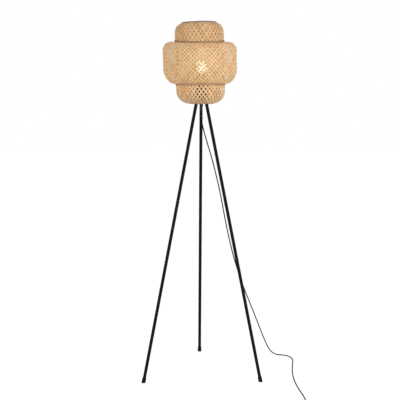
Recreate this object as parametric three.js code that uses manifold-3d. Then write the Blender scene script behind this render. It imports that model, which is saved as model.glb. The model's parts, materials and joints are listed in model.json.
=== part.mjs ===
// Woven bamboo floor lamp on three steel legs, in millimetres, +Z up, standing on z = 0.
import * as THREE from 'three';
import { mergeVertices } from 'three/addons/utils/BufferGeometryUtils.js';
import Module from 'manifold-3d';

const wasm = await Module();
wasm.setup();

// Driving dimensions of the whole lamp
const LAMP_HEIGHT = 1500;
const FOOT_CIRCLE_R = 285; // the leg axes meet the floor on this circle
const SHADE_HEIGHT = 336;

// Gap between touching pieces, and how far a cut runs past a face
const CLEAR = 0.3;
const OVERRUN = 3;

// Shade crown and bowl: the woven tiers above and below the band, each with one rounded shoulder
const BODY_R = 102;
const WEAVE_T = 2;
const TOP_OPENING_R = 68;
const TOP_SHOULDER_H = 40;
const BOTTOM_OPENING_R = 50;
const BOTTOM_SHOULDER_H = 51;
const RIM_CANE_R = 2.5;

// Shade band: the wide woven ring between crown and bowl
const BAND_DEPTH = 52; // from the crown's outside to the band's
const BAND_HEIGHT = 178;
const BAND_RAISED = 80; // from the shade's bottom to the band's
const BAND_TOP_SHOULDER_SHARE = 0.73; // of the band's depth
const BAND_TOP_SHOULDER_H = 34;
const BAND_BOTTOM_SHOULDER_SHARE = 0.94; // of the band's depth
const BAND_BOTTOM_SHOULDER_H = 66;
const BAND_HOOP_T = 2.6;
const BAND_HOOP_H = 6;

// Openings in the band: a plain staggered grid that stands for the fine holes of its weave
const OPENING_PITCH = 23.5; // least height of a face for each row
const OPENING_H = 20;
const OPENING_W_SHARE = 0.72; // of the face that it is cut in

// Wire frame inside the shade
const WIRE_R = 1.5;
const FRAME_HOOP_INSET = 18; // from the band's edges to the hoops
const CARRIER_RING_T = 2;
const CARRIER_RING_R = 25.5;
const CARRIER_BORE_R = 20.2;
const CARRIER_ARMS = 2;

// Stand
const LEG_R = 6.8;
const LEG_WALL = 1;
const LEG_TOP_R = 24.1; // leg axis from the lamp's axis, at the hub's face
const HUB_RAISED = 2; // from the shade's bottom to the hub's face at the legs
const HUB_R = 31;
const HUB_H = 18;
const HUB_CENTRE_R = 9;
const HUB_CHAMFER = 1.5;
const HUB_NECK_H = 4;
const SLEEVE_R = 25;
const SLEEVE_WALL = 1.5;
const SLEEVE_TOP_T = 2;
const STUD_R = 4;
const STUD_DEPTH = 13;
const STUD_PLUG_L = 16;
const FOOT_H = 22;
const FOOT_SOLE_R = 8.8;
const FOOT_TOP_R = 8.2;
const FOOT_FLOOR = 6;
const NIPPLE_R = 5;
const NIPPLE_BORE_R = 3.3;
const NUT_FLATS_R = 8.5;
const NUT_H = 4;

// Lampholder with a screw shell of 27 mm
const HOLDER_R = 19.5;
const HOLDER_BORE_R = 16.5;
const HOLDER_SHELL_H = 35.6;
const HOLDER_FLANGE_R = 21.5;
const HOLDER_FLANGE_T = 3;
const HOLDER_CAP_H = 22;
const HOLDER_CAP_WALL = 2.5;
const HOLDER_NECK_R = 9;
const CORE_H = 11;
const SCREW_SHELL_R = 14.1;
const SCREW_SHELL_T = 0.5;
const SCREW_SHELL_H = 28;
const HOLDER_CONTACT_R = 4;
const HOLDER_CONTACT_H = 5.2;
const TERMINAL_R = 2.4;
const TERMINAL_H = 3;
const TERMINAL_OFFSET = 9;
const SHADE_RING_R = 27;
const SHADE_RING_T = 2.5;
const SHADE_RING_SKIRT_R = 22.5;
const SHADE_RING_H = 8;

// Bulb: a 45 mm globe on a 26 mm screw cap
const GLOBE_R = 22.5;
const BULB_LENGTH = 78;
const GLASS_T = 1;
const NECK_FLARE_SHARE = 0.9; // where the neck meets the globe, of the angle at which it would touch
const BULB_CAP_R = 13.2;
const BULB_CAP_T = 0.5;
const BULB_CAP_BASE = 4;
const BULB_CAP_TOP = 26.5;
const BULB_NECK_R = 12.2;
const BULB_CONTACT_R = 4.2;
const BULB_CONTACT_H = 1.6;
const STEM_FOOT_R = 10.8;
const STEM_R = 3;
const STEM_TOP = 44;
const FILAMENTS = 4;
const FILAMENT_R = 0.9;
const FILAMENT_LOW = 37;
const FILAMENT_HIGH = 66;
const FILAMENT_OFFSET = 5.5;

// Cord, its gland, and its coil
const CORD_R = 2.5;
const CORD_SIDES = 8;
const CORD_STEPS = 64;
const LEAD_STEPS = 8;
const GLAND_R = 7.5;
const GLAND_BODY_H = 12;
const GLAND_TAIL_H = 20;
const GLAND_TAIL_R = 5.6;
const GLAND_TIP_R = 3.9;
const NIPPLE_GRIP = 7; // length of the nipple's thread inside the gland
const COIL_LOOPS = 4;
const COIL_MIDDLE_R = 27.5;
const COIL_PITCH = 5.6;
const COIL_STEPS = 24;
const COIL_SIDES = 6;
const TIE_T = 1;
const TIE_W = 6;
const TIE_GAP = 2 * CLEAR; // room for the turns' curve inside the tie

// Foot switch
const SWITCH_L = 78;
const SWITCH_W = 34;
const SWITCH_H = 21;
const SWITCH_SPLIT = 8;
const SWITCH_WALL = 2;
const SWITCH_CORNER_R = 8;
const BUTTON_R = 11;
const BUTTON_FLANGE_R = 13;
const BUTTON_FLANGE_T = 2;
const BUTTON_PROUD = 3.5;
const BUTTON_EDGE_R = 1.2;
const BLOCK_L = 26;
const BLOCK_W = 22;
const BLOCK_H = 7;
const SPRING_R = 6;
const SPRING_WIRE_T = 1;
const SWITCH_SCREW_X = 29;
const SCREW_R = 1.5;
const SCREW_HEAD_R = 2.8;
const SCREW_HEAD_H = 1.9;
const SCREW_RECESS = 3;
const SCREW_L = 11;
const BOSS_R = 4;
const RELIEF_L = 20;
const RELIEF_NECK_R = 4.2;
const RELIEF_BASE_R = 5.2;
const RELIEF_TIP_R = 3.1;
const RELIEF_GRIP = 1.2; // how far its neck stands inside the switch's wall

// Flat two-pin plug
const PLUG_L = 34;
const PLUG_W = 35;
const PLUG_T = 13.7;
const PLUG_TAIL_W = 11;
const PLUG_BEVEL = 3;
const PIN_R = 2;
const PIN_L = 19;
const PIN_SLEEVE_L = 10;
const PIN_SLEEVE_R = 1.9;
const PIN_SPACING = 18.6;

// Numbers of flat faces round each kind of piece. The shade's is even, so that each arm and upright
// meets a corner of its hoops.
const SHADE_SIDES = 36;
const HUB_SIDES = 24;
const SMALL_SIDES = 12;
const TINY_SIDES = 8;
const WIRE_SIDES = 6;
const ARC_STEPS = 4;
const CORNER_STEPS = 3;

// The lamp's axis stands behind the middle of its footprint, because one leg points back
const AXIS_Y = -FOOT_CIRCLE_R / 4;

// Heights that follow from the driving dimensions
const SHADE_BOTTOM = LAMP_HEIGHT - SHADE_HEIGHT;
const BAND_BOTTOM = SHADE_BOTTOM + BAND_RAISED;
const BAND_TOP = BAND_BOTTOM + BAND_HEIGHT;
const LOWER_HOOP_Z = BAND_BOTTOM + FRAME_HOOP_INSET;
const UPPER_HOOP_Z = BAND_TOP - FRAME_HOOP_INSET;
const FRAME_HOOP_R = BODY_R - WEAVE_T - CLEAR - WIRE_R;
const ARM_Z = LOWER_HOOP_Z - 2 * WIRE_R - CLEAR;
const HUB_FACE_Z = SHADE_BOTTOM + HUB_RAISED;
const HUB_TOP = HUB_FACE_Z + HUB_H;
const LEG_TILT = Math.atan2(FOOT_CIRCLE_R - LEG_TOP_R, HUB_FACE_Z);
const LEG_REACH = HUB_FACE_Z / Math.cos(LEG_TILT); // from the hub's face to the floor, along the leg
const HUB_CENTRE_Z = HUB_FACE_Z - (LEG_TOP_R - HUB_CENTRE_R) * Math.tan(LEG_TILT);
const HOLDER_BASE = ARM_Z - CARRIER_RING_T / 2 - CLEAR - HOLDER_FLANGE_T;
const HOLDER_RIM = HOLDER_BASE + HOLDER_SHELL_H;
const HOLDER_CAP_BOTTOM = HOLDER_BASE - CLEAR - HOLDER_CAP_H;
const SLEEVE_TOP = HOLDER_CAP_BOTTOM - CLEAR;
const CORE_R = HOLDER_BORE_R - CLEAR;
const CORE_BOTTOM = HOLDER_CAP_BOTTOM + HOLDER_CAP_H / 2 + CLEAR;
const CORE_TOP = CORE_BOTTOM + CORE_H;
const BULB_BASE = CORE_TOP + HOLDER_CONTACT_H + 2 * CLEAR;
const GLAND_TOP = HUB_CENTRE_Z - CLEAR;
const CORD_EXIT_Z = GLAND_TOP - GLAND_BODY_H - GLAND_TAIL_H;

// Materials
const bamboo = new THREE.MeshStandardMaterial({ color: 0xe0b27a, roughness: 0.6 });
const cane = new THREE.MeshStandardMaterial({ color: 0xa07a50, roughness: 0.65 });
const blackSteel = new THREE.MeshStandardMaterial({ color: 0x161617, roughness: 0.42, metalness: 0.6 });
const blackWire = new THREE.MeshStandardMaterial({ color: 0x1b1b1c, roughness: 0.5, metalness: 0.5 });
const plainSteel = new THREE.MeshStandardMaterial({ color: 0x9a9b9e, roughness: 0.35, metalness: 0.9 });
const rubber = new THREE.MeshStandardMaterial({ color: 0x141414, roughness: 0.8 });
const blackPlastic = new THREE.MeshStandardMaterial({ color: 0x18181a, roughness: 0.5 });
const cordSkin = new THREE.MeshStandardMaterial({ color: 0x1c1c1e, roughness: 0.6 });
const ceramic = new THREE.MeshStandardMaterial({ color: 0xe8e4da, roughness: 0.4 });
const brass = new THREE.MeshStandardMaterial({ color: 0xb8923e, roughness: 0.3, metalness: 0.95 });
const capMetal = new THREE.MeshStandardMaterial({ color: 0xb4b4b8, roughness: 0.3, metalness: 0.95 });
const glass = new THREE.MeshStandardMaterial({
  color: 0xfff2d8, roughness: 0.2, opacity: 0.6, transparent: true,
});
const glow = new THREE.MeshStandardMaterial({ color: 0xffd489, emissive: 0xffb45a, roughness: 0.5 });

// A body of revolution about Z from [radius, height] pairs that run up its outside
function turned(profile, sides) {
  const points = profile.map(([r, z]) => new THREE.Vector2(r, z));
  return new THREE.LatheGeometry(points, sides).rotateX(Math.PI / 2);
}

// A straight round post between two heights
function post(radius, low, high, sides = SMALL_SIDES) {
  return turned([[0, low], [radius, low], [radius, high], [0, high]], sides);
}

// A round tube between two heights
function tube(inner, outer, low, high, sides = SMALL_SIDES) {
  return turned([[outer, low], [outer, high], [inner, high], [inner, low], [outer, low]], sides);
}

// Points on a quarter of an ellipse, from angle a to angle b
function arc(centreR, centreZ, width, height, a, b) {
  return Array.from({ length: ARC_STEPS + 1 }, (_, i) => {
    const angle = a + ((b - a) * i) / ARC_STEPS;
    return [centreR + width * Math.cos(angle), centreZ + height * Math.sin(angle)];
  });
}

// A closed profile that follows an outline and comes back a wall's thickness inside it
function walled(outline, wall) {
  const inner = outline.map(([r, z], i) => {
    const [r0, z0] = outline[Math.max(i - 1, 0)];
    const [r1, z1] = outline[Math.min(i + 1, outline.length - 1)];
    const run = Math.hypot(r1 - r0, z1 - z0);
    return [r - (wall * (z1 - z0)) / run, z + (wall * (r1 - r0)) / run];
  });
  return [...outline, ...inner.reverse(), outline[0]];
}

// A closed solid for cutting and joining
function solid(geometry) {
  const bare = geometry.clone();
  bare.deleteAttribute('normal');
  bare.deleteAttribute('uv');
  const merged = mergeVertices(bare, CLEAR / 1000);
  const corners = [...merged.index.array];
  const kept = [];
  for (let i = 0; i < corners.length; i += 3) {
    const [a, b, c] = corners.slice(i, i + 3);
    if (a !== b && b !== c && c !== a) kept.push(a, b, c);
  }
  return new wasm.Manifold(
    new wasm.Mesh({
      numProp: 3,
      vertProperties: new Float32Array(merged.attributes.position.array),
      triVerts: new Uint32Array(kept),
    }),
  );
}

// The mesh geometry of a cut or joined solid
function surface(manifold) {
  const mesh = manifold.getMesh();
  const geometry = new THREE.BufferGeometry();
  geometry.setAttribute('position', new THREE.BufferAttribute(new Float32Array(mesh.vertProperties), 3));
  geometry.setIndex(new THREE.BufferAttribute(new Uint32Array(mesh.triVerts), 1));
  return geometry;
}

function cut(geometry, ...tools) {
  return surface(tools.reduce((body, tool) => body.subtract(solid(tool)), solid(geometry)));
}

function join(geometry, ...others) {
  return surface(others.reduce((body, other) => body.add(solid(other)), solid(geometry)));
}

function piece(parent, name, geometry, material) {
  const mesh = new THREE.Mesh(geometry, material);
  mesh.name = name;
  parent.add(mesh);
  return mesh;
}

// Shade

// Each tier reaches into the band as far as the frame hoop that its edge is tied to
function crownOutline() {
  const shoulderW = BODY_R - TOP_OPENING_R;
  const shoulderZ = LAMP_HEIGHT - TOP_SHOULDER_H;
  return [
    [BODY_R, UPPER_HOOP_Z - WIRE_R],
    ...arc(TOP_OPENING_R, shoulderZ, shoulderW, TOP_SHOULDER_H, 0, Math.PI / 2),
  ];
}

function bowlOutline() {
  const shoulderW = BODY_R - BOTTOM_OPENING_R;
  const shoulderZ = SHADE_BOTTOM + BOTTOM_SHOULDER_H;
  return [
    ...arc(BOTTOM_OPENING_R, shoulderZ, shoulderW, BOTTOM_SHOULDER_H, -Math.PI / 2, 0),
    [BODY_R, LOWER_HOOP_Z + WIRE_R],
  ];
}

function bandOutline() {
  const bottomW = BAND_DEPTH * BAND_BOTTOM_SHOULDER_SHARE;
  const topW = BAND_DEPTH * BAND_TOP_SHOULDER_SHARE;
  const bandR = BODY_R + BAND_DEPTH;
  const bottomZ = BAND_BOTTOM + BAND_BOTTOM_SHOULDER_H;
  const topZ = BAND_TOP - BAND_TOP_SHOULDER_H;
  const edgeR = BODY_R + CLEAR;
  return [
    [edgeR, BAND_BOTTOM],
    ...arc(bandR - bottomW, bottomZ, bottomW, BAND_BOTTOM_SHOULDER_H, -Math.PI / 2, 0),
    ...arc(bandR - topW, topZ, topW, BAND_TOP_SHOULDER_H, 0, Math.PI / 2),
    [edgeR, BAND_TOP],
  ];
}

// A bar with a diamond section that stands square on a face with this slope
function openingTool(r, z, slope, azimuth) {
  const width = OPENING_W_SHARE * 2 * r * Math.tan(Math.PI / SHADE_SIDES);
  return new THREE.CylinderGeometry(width / 2, width / 2, 2 * (WEAVE_T + OVERRUN), 4)
    .rotateZ(Math.PI / 2)
    .scale(1, 1, OPENING_H / width)
    .rotateY(slope)
    .translate(r, 0, z)
    .rotateZ(azimuth);
}

// Rows of openings in each face of an outline that is high enough. A row has an opening in every other
// side, and neighbouring rows take the sides by turns.
function openings(outline) {
  const tools = [];
  let row = 0;
  outline.slice(1).forEach(([r1, z1], i) => {
    const [r0, z0] = outline[i];
    const rows = Math.floor(Math.hypot(r1 - r0, z1 - z0) / OPENING_PITCH);
    for (let n = 0; n < rows; n++) {
      const share = (n + 0.5) / rows;
      for (let side = row % 2; side < SHADE_SIDES; side += 2) {
        const azimuth = ((side + 0.5) * 2 * Math.PI) / SHADE_SIDES;
        const slope = Math.atan2(r1 - r0, z1 - z0);
        tools.push(openingTool(r0 + (r1 - r0) * share, z0 + (z1 - z0) * share, slope, azimuth));
      }
      row++;
    }
  });
  return tools;
}

function band() {
  const outline = bandOutline();
  return cut(turned(walled(outline, WEAVE_T), SHADE_SIDES), ...openings(outline));
}

function hoop(radius, tubeR, z) {
  return new THREE.TorusGeometry(radius, tubeR, WIRE_SIDES, SHADE_SIDES).translate(0, 0, z);
}

function bandHoop(low) {
  const inner = BODY_R + CLEAR;
  return tube(inner, inner + BAND_HOOP_T, low, low + BAND_HOOP_H, SHADE_SIDES);
}

// A horizontal rod from one radius to another, pointing along X before it is turned
function arm(from, to, azimuth) {
  return post(WIRE_R, from, to, WIRE_SIDES).rotateY(Math.PI / 2).rotateZ(azimuth).translate(0, 0, ARM_Z);
}

function armAzimuth(i) {
  return (i * 2 * Math.PI) / CARRIER_ARMS;
}

function carrier() {
  const low = ARM_Z - CARRIER_RING_T / 2;
  const ring = tube(CARRIER_BORE_R, CARRIER_RING_R, low, low + CARRIER_RING_T, HUB_SIDES);
  const from = (CARRIER_BORE_R + CARRIER_RING_R) / 2;
  const arms = Array.from({ length: CARRIER_ARMS }, (_, i) => arm(from, FRAME_HOOP_R, armAzimuth(i)));
  return join(ring, ...arms);
}

function addShade(lamp) {
  piece(lamp, 'shade_crown', turned(walled(crownOutline(), WEAVE_T), SHADE_SIDES), bamboo);
  piece(lamp, 'shade_band', band(), bamboo);
  piece(lamp, 'shade_bowl', turned(walled(bowlOutline(), WEAVE_T), SHADE_SIDES), bamboo);

  const rimInset = CLEAR + RIM_CANE_R;
  const topRim = hoop(TOP_OPENING_R - rimInset, RIM_CANE_R, LAMP_HEIGHT - RIM_CANE_R);
  const bottomRim = hoop(BOTTOM_OPENING_R - rimInset, RIM_CANE_R, SHADE_BOTTOM + RIM_CANE_R);
  piece(lamp, 'top_rim_cane', topRim, cane);
  piece(lamp, 'bottom_rim_cane', bottomRim, cane);
  piece(lamp, 'band_top_hoop', bandHoop(BAND_TOP + CLEAR), cane);
  piece(lamp, 'band_bottom_hoop', bandHoop(BAND_BOTTOM - CLEAR - BAND_HOOP_H), cane);

  piece(lamp, 'frame_hoop_upper', hoop(FRAME_HOOP_R, WIRE_R, UPPER_HOOP_Z), blackWire);
  piece(lamp, 'frame_hoop_lower', hoop(FRAME_HOOP_R, WIRE_R, LOWER_HOOP_Z), blackWire);
  const uprightR = FRAME_HOOP_R - 2 * WIRE_R - CLEAR;
  const uprightLow = ARM_Z + WIRE_R + CLEAR;
  const uprightHigh = UPPER_HOOP_Z + WIRE_R;
  ['right', 'left'].forEach((side, i) => {
    const upright = piece(
      lamp, `frame_upright_${side}`, post(WIRE_R, uprightLow, uprightHigh, WIRE_SIDES), blackWire,
    );
    upright.position.set(uprightR * Math.cos(armAzimuth(i)), uprightR * Math.sin(armAzimuth(i)), 0);
  });
  piece(lamp, 'shade_carrier', carrier(), blackWire);
}

// Stand

// A group whose origin is on the hub's face and whose -Z runs down the leg
function legFrame(azimuth) {
  const frame = new THREE.Group();
  frame.position.set(LEG_TOP_R * Math.cos(azimuth), LEG_TOP_R * Math.sin(azimuth), HUB_FACE_Z);
  frame.rotation.set(0, -LEG_TILT, azimuth, 'ZYX');
  frame.updateMatrix();
  return frame;
}

const LEGS = [['back', Math.PI / 2], ['left', (7 * Math.PI) / 6], ['right', (11 * Math.PI) / 6]];

function hub() {
  const faceRise = (HUB_R - LEG_TOP_R) * Math.tan(LEG_TILT);
  const neckR = SLEEVE_R - SLEEVE_WALL - CLEAR;
  const bore = NIPPLE_R + CLEAR;
  const profile = [
    [bore, HUB_CENTRE_Z],
    [HUB_CENTRE_R, HUB_CENTRE_Z],
    [HUB_R - HUB_CHAMFER, HUB_FACE_Z + faceRise - HUB_CHAMFER * Math.tan(LEG_TILT)],
    [HUB_R, HUB_FACE_Z + faceRise + HUB_CHAMFER],
    [HUB_R, HUB_TOP - HUB_CHAMFER],
    [HUB_R - HUB_CHAMFER, HUB_TOP],
    [neckR, HUB_TOP],
    [neckR, HUB_TOP + HUB_NECK_H],
    [bore, HUB_TOP + HUB_NECK_H],
    [bore, HUB_CENTRE_Z],
  ];
  const bores = LEGS.map(([, azimuth]) =>
    post(STUD_R + CLEAR, -OVERRUN, STUD_DEPTH + CLEAR).applyMatrix4(legFrame(azimuth).matrix),
  );
  return cut(turned(profile, HUB_SIDES), ...bores);
}

function sleeve() {
  const inner = SLEEVE_R - SLEEVE_WALL;
  const bore = NIPPLE_R + CLEAR;
  const low = HUB_TOP + CLEAR;
  const profile = [
    [inner, low],
    [SLEEVE_R, low],
    [SLEEVE_R, SLEEVE_TOP - SLEEVE_WALL],
    [SLEEVE_R - SLEEVE_WALL, SLEEVE_TOP],
    [bore, SLEEVE_TOP],
    [bore, SLEEVE_TOP - SLEEVE_TOP_T],
    [inner, SLEEVE_TOP - SLEEVE_TOP_T],
    [inner, low],
  ];
  return turned(profile, HUB_SIDES);
}

function nut() {
  const low = HUB_TOP + HUB_NECK_H + CLEAR;
  const hexagon = new THREE.CylinderGeometry(NUT_FLATS_R, NUT_FLATS_R, NUT_H, 6);
  hexagon.rotateX(Math.PI / 2).translate(0, 0, low + NUT_H / 2);
  return cut(hexagon, post(NIPPLE_R + CLEAR, low - OVERRUN, low + NUT_H + OVERRUN));
}

// The foot's sole is cut level with the floor, so its lowest ring is sheared along the leg's tilt
function foot() {
  const bore = LEG_R + CLEAR;
  const sole = -LEG_REACH;
  const geometry = turned(
    [[0, sole], [FOOT_SOLE_R, sole], [FOOT_TOP_R, sole + FOOT_H], [bore, sole + FOOT_H],
      [bore, sole + FOOT_FLOOR], [0, sole + FOOT_FLOOR]],
    SMALL_SIDES,
  );
  const position = geometry.attributes.position;
  for (let i = 0; i < position.count; i += 1) {
    const onSole = position.getZ(i) < sole + CLEAR;
    if (onSole) position.setZ(i, sole - position.getX(i) * Math.tan(LEG_TILT));
  }
  return geometry;
}

function legStud() {
  const plugR = LEG_R - LEG_WALL - CLEAR;
  return turned(
    [[0, -STUD_PLUG_L], [plugR, -STUD_PLUG_L], [plugR, -2 * CLEAR], [STUD_R, -2 * CLEAR],
      [STUD_R, STUD_DEPTH], [0, STUD_DEPTH]],
    SMALL_SIDES,
  );
}

function addStand(lamp) {
  piece(lamp, 'hub_body', hub(), blackSteel);
  piece(lamp, 'hub_sleeve', sleeve(), blackSteel);
  piece(lamp, 'hub_nut', nut(), plainSteel);
  const nippleLow = GLAND_TOP - NIPPLE_GRIP;
  const nippleHigh = CORE_BOTTOM - TERMINAL_H - CLEAR;
  piece(lamp, 'hub_nipple', tube(NIPPLE_BORE_R, NIPPLE_R, nippleLow, nippleHigh), plainSteel);

  LEGS.forEach(([side, azimuth]) => {
    const frame = legFrame(azimuth);
    const low = -LEG_REACH + FOOT_FLOOR + CLEAR;
    piece(frame, `leg_${side}`, tube(LEG_R - LEG_WALL, LEG_R, low, -CLEAR), blackSteel);
    piece(frame, `leg_stud_${side}`, legStud(), plainSteel);
    piece(frame, `foot_${side}`, foot(), rubber);
    lamp.add(frame);
  });
}

// Lampholder

function holderCap() {
  const bore = NIPPLE_R + CLEAR;
  const top = HOLDER_BASE - CLEAR;
  const shoulderZ = HOLDER_CAP_BOTTOM + HOLDER_CAP_H / 2;
  const inside = HOLDER_R - HOLDER_CAP_WALL;
  const profile = [
    [bore, HOLDER_CAP_BOTTOM],
    [HOLDER_NECK_R, HOLDER_CAP_BOTTOM],
    ...arc(HOLDER_NECK_R, shoulderZ, HOLDER_R - HOLDER_NECK_R, HOLDER_CAP_H / 2, -Math.PI / 2, 0).slice(1),
    [HOLDER_R, top],
    [inside, top],
    [inside, shoulderZ],
    [HOLDER_NECK_R, HOLDER_CAP_BOTTOM + HOLDER_CAP_WALL],
    [bore, HOLDER_CAP_BOTTOM + HOLDER_CAP_WALL],
    [bore, HOLDER_CAP_BOTTOM],
  ];
  return turned(profile, HUB_SIDES);
}

function holderShell() {
  const flangeTop = HOLDER_BASE + HOLDER_FLANGE_T;
  const profile = [
    [HOLDER_BORE_R, HOLDER_BASE],
    [HOLDER_FLANGE_R, HOLDER_BASE],
    [HOLDER_FLANGE_R, flangeTop],
    [HOLDER_R, flangeTop],
    [HOLDER_R, HOLDER_RIM],
    [HOLDER_BORE_R, HOLDER_RIM],
    [HOLDER_BORE_R, HOLDER_BASE],
  ];
  return turned(profile, HUB_SIDES);
}

function shadeRing() {
  const low = ARM_Z + CARRIER_RING_T / 2 + CLEAR;
  const bore = HOLDER_R + CLEAR;
  const profile = [
    [bore, low],
    [SHADE_RING_R, low],
    [SHADE_RING_R, low + SHADE_RING_T],
    [SHADE_RING_SKIRT_R, low + SHADE_RING_T],
    [SHADE_RING_SKIRT_R, low + SHADE_RING_H],
    [bore, low + SHADE_RING_H],
    [bore, low],
  ];
  return turned(profile, HUB_SIDES);
}

function addLampholder(lamp) {
  piece(lamp, 'holder_cap', holderCap(), blackPlastic);
  piece(lamp, 'holder_shell', holderShell(), blackPlastic);
  piece(lamp, 'shade_ring', shadeRing(), blackPlastic);
  piece(lamp, 'holder_core', post(CORE_R, CORE_BOTTOM, CORE_TOP, HUB_SIDES), ceramic);
  const seat = CORE_TOP + CLEAR;
  const shellBore = SCREW_SHELL_R - SCREW_SHELL_T;
  const screwShell = tube(shellBore, SCREW_SHELL_R, seat, seat + SCREW_SHELL_H, HUB_SIDES);
  piece(lamp, 'holder_screw_shell', screwShell, brass);
  piece(lamp, 'holder_contact', post(HOLDER_CONTACT_R, seat, seat + HOLDER_CONTACT_H), brass);
  const screwLow = CORE_BOTTOM - CLEAR - TERMINAL_H;
  [['left', -TERMINAL_OFFSET], ['right', TERMINAL_OFFSET]].forEach(([side, x]) => {
    const screw = post(TERMINAL_R, screwLow, screwLow + TERMINAL_H, TINY_SIDES);
    piece(lamp, `terminal_screw_${side}`, screw, brass).position.x = x;
  });
}

// Bulb

function bulbGlass() {
  const centre = BULB_LENGTH - GLOBE_R;
  const neckZ = BULB_CAP_TOP - 2 * GLASS_T;
  const flareZ = BULB_CAP_TOP + GLASS_T;
  const meetAngle = -Math.acos((BULB_NECK_R + GLASS_T) / GLOBE_R) * NECK_FLARE_SHARE;
  const outline = [
    [BULB_NECK_R, neckZ],
    [BULB_NECK_R, flareZ],
    ...arc(0, centre, GLOBE_R, GLOBE_R, meetAngle, 0),
    ...arc(0, centre, GLOBE_R, GLOBE_R, 0, Math.PI / 2).slice(1),
  ];
  const inner = [
    ...arc(0, centre, GLOBE_R - GLASS_T, GLOBE_R - GLASS_T, Math.PI / 2, meetAngle),
    [BULB_NECK_R - GLASS_T, flareZ],
    [BULB_NECK_R - GLASS_T, neckZ],
  ];
  return turned([...outline, ...inner, outline[0]], HUB_SIDES);
}

function bulbStem() {
  const low = BULB_CAP_TOP - 2 * GLASS_T;
  return turned(
    [[0, low], [STEM_FOOT_R, low], [STEM_FOOT_R, low + GLASS_T], [STEM_R, low + 4 * GLASS_T],
      [STEM_R, STEM_TOP], [0, STEM_TOP]],
    SMALL_SIDES,
  );
}

function filaments() {
  const sticks = Array.from({ length: FILAMENTS }, (_, i) => {
    const azimuth = (i * 2 * Math.PI) / FILAMENTS;
    return post(FILAMENT_R, FILAMENT_LOW, FILAMENT_HIGH, WIRE_SIDES).translate(
      FILAMENT_OFFSET * Math.cos(azimuth), FILAMENT_OFFSET * Math.sin(azimuth), 0,
    );
  });
  const crossLow = STEM_TOP + CLEAR;
  const cross = [0, Math.PI / 2].map((azimuth) =>
    post(FILAMENT_R, -FILAMENT_OFFSET, FILAMENT_OFFSET, WIRE_SIDES)
      .rotateY(Math.PI / 2).rotateZ(azimuth).translate(0, 0, crossLow + FILAMENT_R),
  );
  return join(...sticks, ...cross);
}

function addBulb(lamp) {
  const bulb = new THREE.Group();
  bulb.position.z = BULB_BASE;
  lamp.add(bulb);
  piece(bulb, 'bulb_contact', post(BULB_CONTACT_R, 0, BULB_CONTACT_H), brass);
  const insulatorLow = BULB_CONTACT_H + CLEAR;
  const insulatorR = BULB_CAP_R - BULB_CAP_T - CLEAR;
  const insulator = turned(
    [[0, insulatorLow], [BULB_CONTACT_R + CLEAR, insulatorLow], [insulatorR, BULB_CAP_BASE],
      [insulatorR, BULB_CAP_BASE + BULB_CONTACT_H], [0, BULB_CAP_BASE + BULB_CONTACT_H]],
    HUB_SIDES,
  );
  piece(bulb, 'bulb_insulator', insulator, blackPlastic);
  const capShell = tube(BULB_CAP_R - BULB_CAP_T, BULB_CAP_R, BULB_CAP_BASE, BULB_CAP_TOP, HUB_SIDES);
  piece(bulb, 'bulb_cap', capShell, capMetal);
  piece(bulb, 'bulb_glass', bulbGlass(), glass);
  piece(bulb, 'bulb_stem', bulbStem(), glass);
  piece(bulb, 'bulb_filaments', filaments(), glow);
}

// Cord

// Route of the cord from the gland down to the floor and along it to the foot switch
const HANGING_ROUTE = [
  [0, AXIS_Y, CORD_EXIT_Z - CLEAR], [0.5, -71, 1104], [8, -67, 1060],
  [24, -58, 1003], [43, -46, 940], [60, -36, 876],
  [76, -26, 810], [90, -18, 742], [103, -10, 674], [117, -2, 606], [133, 7, 536], [152, 19, 466],
  [174, 32, 397], [199, 47, 328], [225, 62, 262], [250, 77, 198], [274, 91, 136], [297, 105, 78],
  [321, 119, 32], [348, 132, 9], [377, 137, 3], [404, 120, 2.9], [417, 86, 2.6], [416, 42, 2.6],
  [408, -10, 2.6], [400, -66, 2.6], [394, -124, 2.6], [391, -182, 2.6], [391, -240, 2.6],
  [394, -298, 2.6], [399, -354, 2.6], [404, -410, 2.6], [404, -464, 2.7], [394, -507, 4],
  [371, -537, 6.6], [352, -546.4, 8], [340.3, -547, 8.15],
];
const SWITCH_X = 281;
const SWITCH_Y = -547;
const CORD_ENTRY_Z = SWITCH_SPLIT + CLEAR / 2;
const RELIEF_TIP_X = SWITCH_L / 2 + RELIEF_L;
const COIL_X = 150;
const COIL_OUTER_R = COIL_MIDDLE_R + COIL_PITCH * COIL_LOOPS / 4;
const COIL_Y = SWITCH_Y + COIL_OUTER_R;
const COIL_Z = TIE_T + TIE_GAP + CORD_R;
const PLUG_BACK_X = 62;
const PLUG_Z = PLUG_T / 2;

function route(points) {
  return new THREE.CatmullRomCurve3(points.map((p) => new THREE.Vector3(...p)), false, 'catmullrom', 0.5);
}

function cordTube(points, steps) {
  const section = new THREE.Shape();
  for (let i = 0; i < CORD_SIDES; i += 1) {
    const angle = (i * 2 * Math.PI) / CORD_SIDES;
    const spot = [CORD_R * Math.cos(angle), CORD_R * Math.sin(angle)];
    if (i === 0) section.moveTo(...spot);
    else section.lineTo(...spot);
  }
  return new THREE.ExtrudeGeometry(section, { steps, extrudePath: route(points), bevelEnabled: false });
}

// Centre line of the coil: it spirals in through half its loops, climbs a layer, and spirals out again
function coilLine() {
  const turns = COIL_LOOPS;
  const points = Array.from({ length: turns * COIL_STEPS + 1 }, (_, i) => {
    const t = i / COIL_STEPS;
    const angle = -Math.PI / 2 - 2 * Math.PI * t;
    const radius = COIL_OUTER_R - COIL_PITCH * Math.min(t, turns - t);
    const climb = THREE.MathUtils.smoothstep(t, turns / 2 - 1 / 4, turns / 2 + 1 / 4);
    return new THREE.Vector3(radius * Math.cos(angle), radius * Math.sin(angle), COIL_PITCH * climb);
  });
  const lead = new THREE.Vector3(2 * CORD_R, 0, 0);
  return [points[0].clone().add(lead), ...points, points.at(-1).clone().sub(lead)];
}

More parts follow.
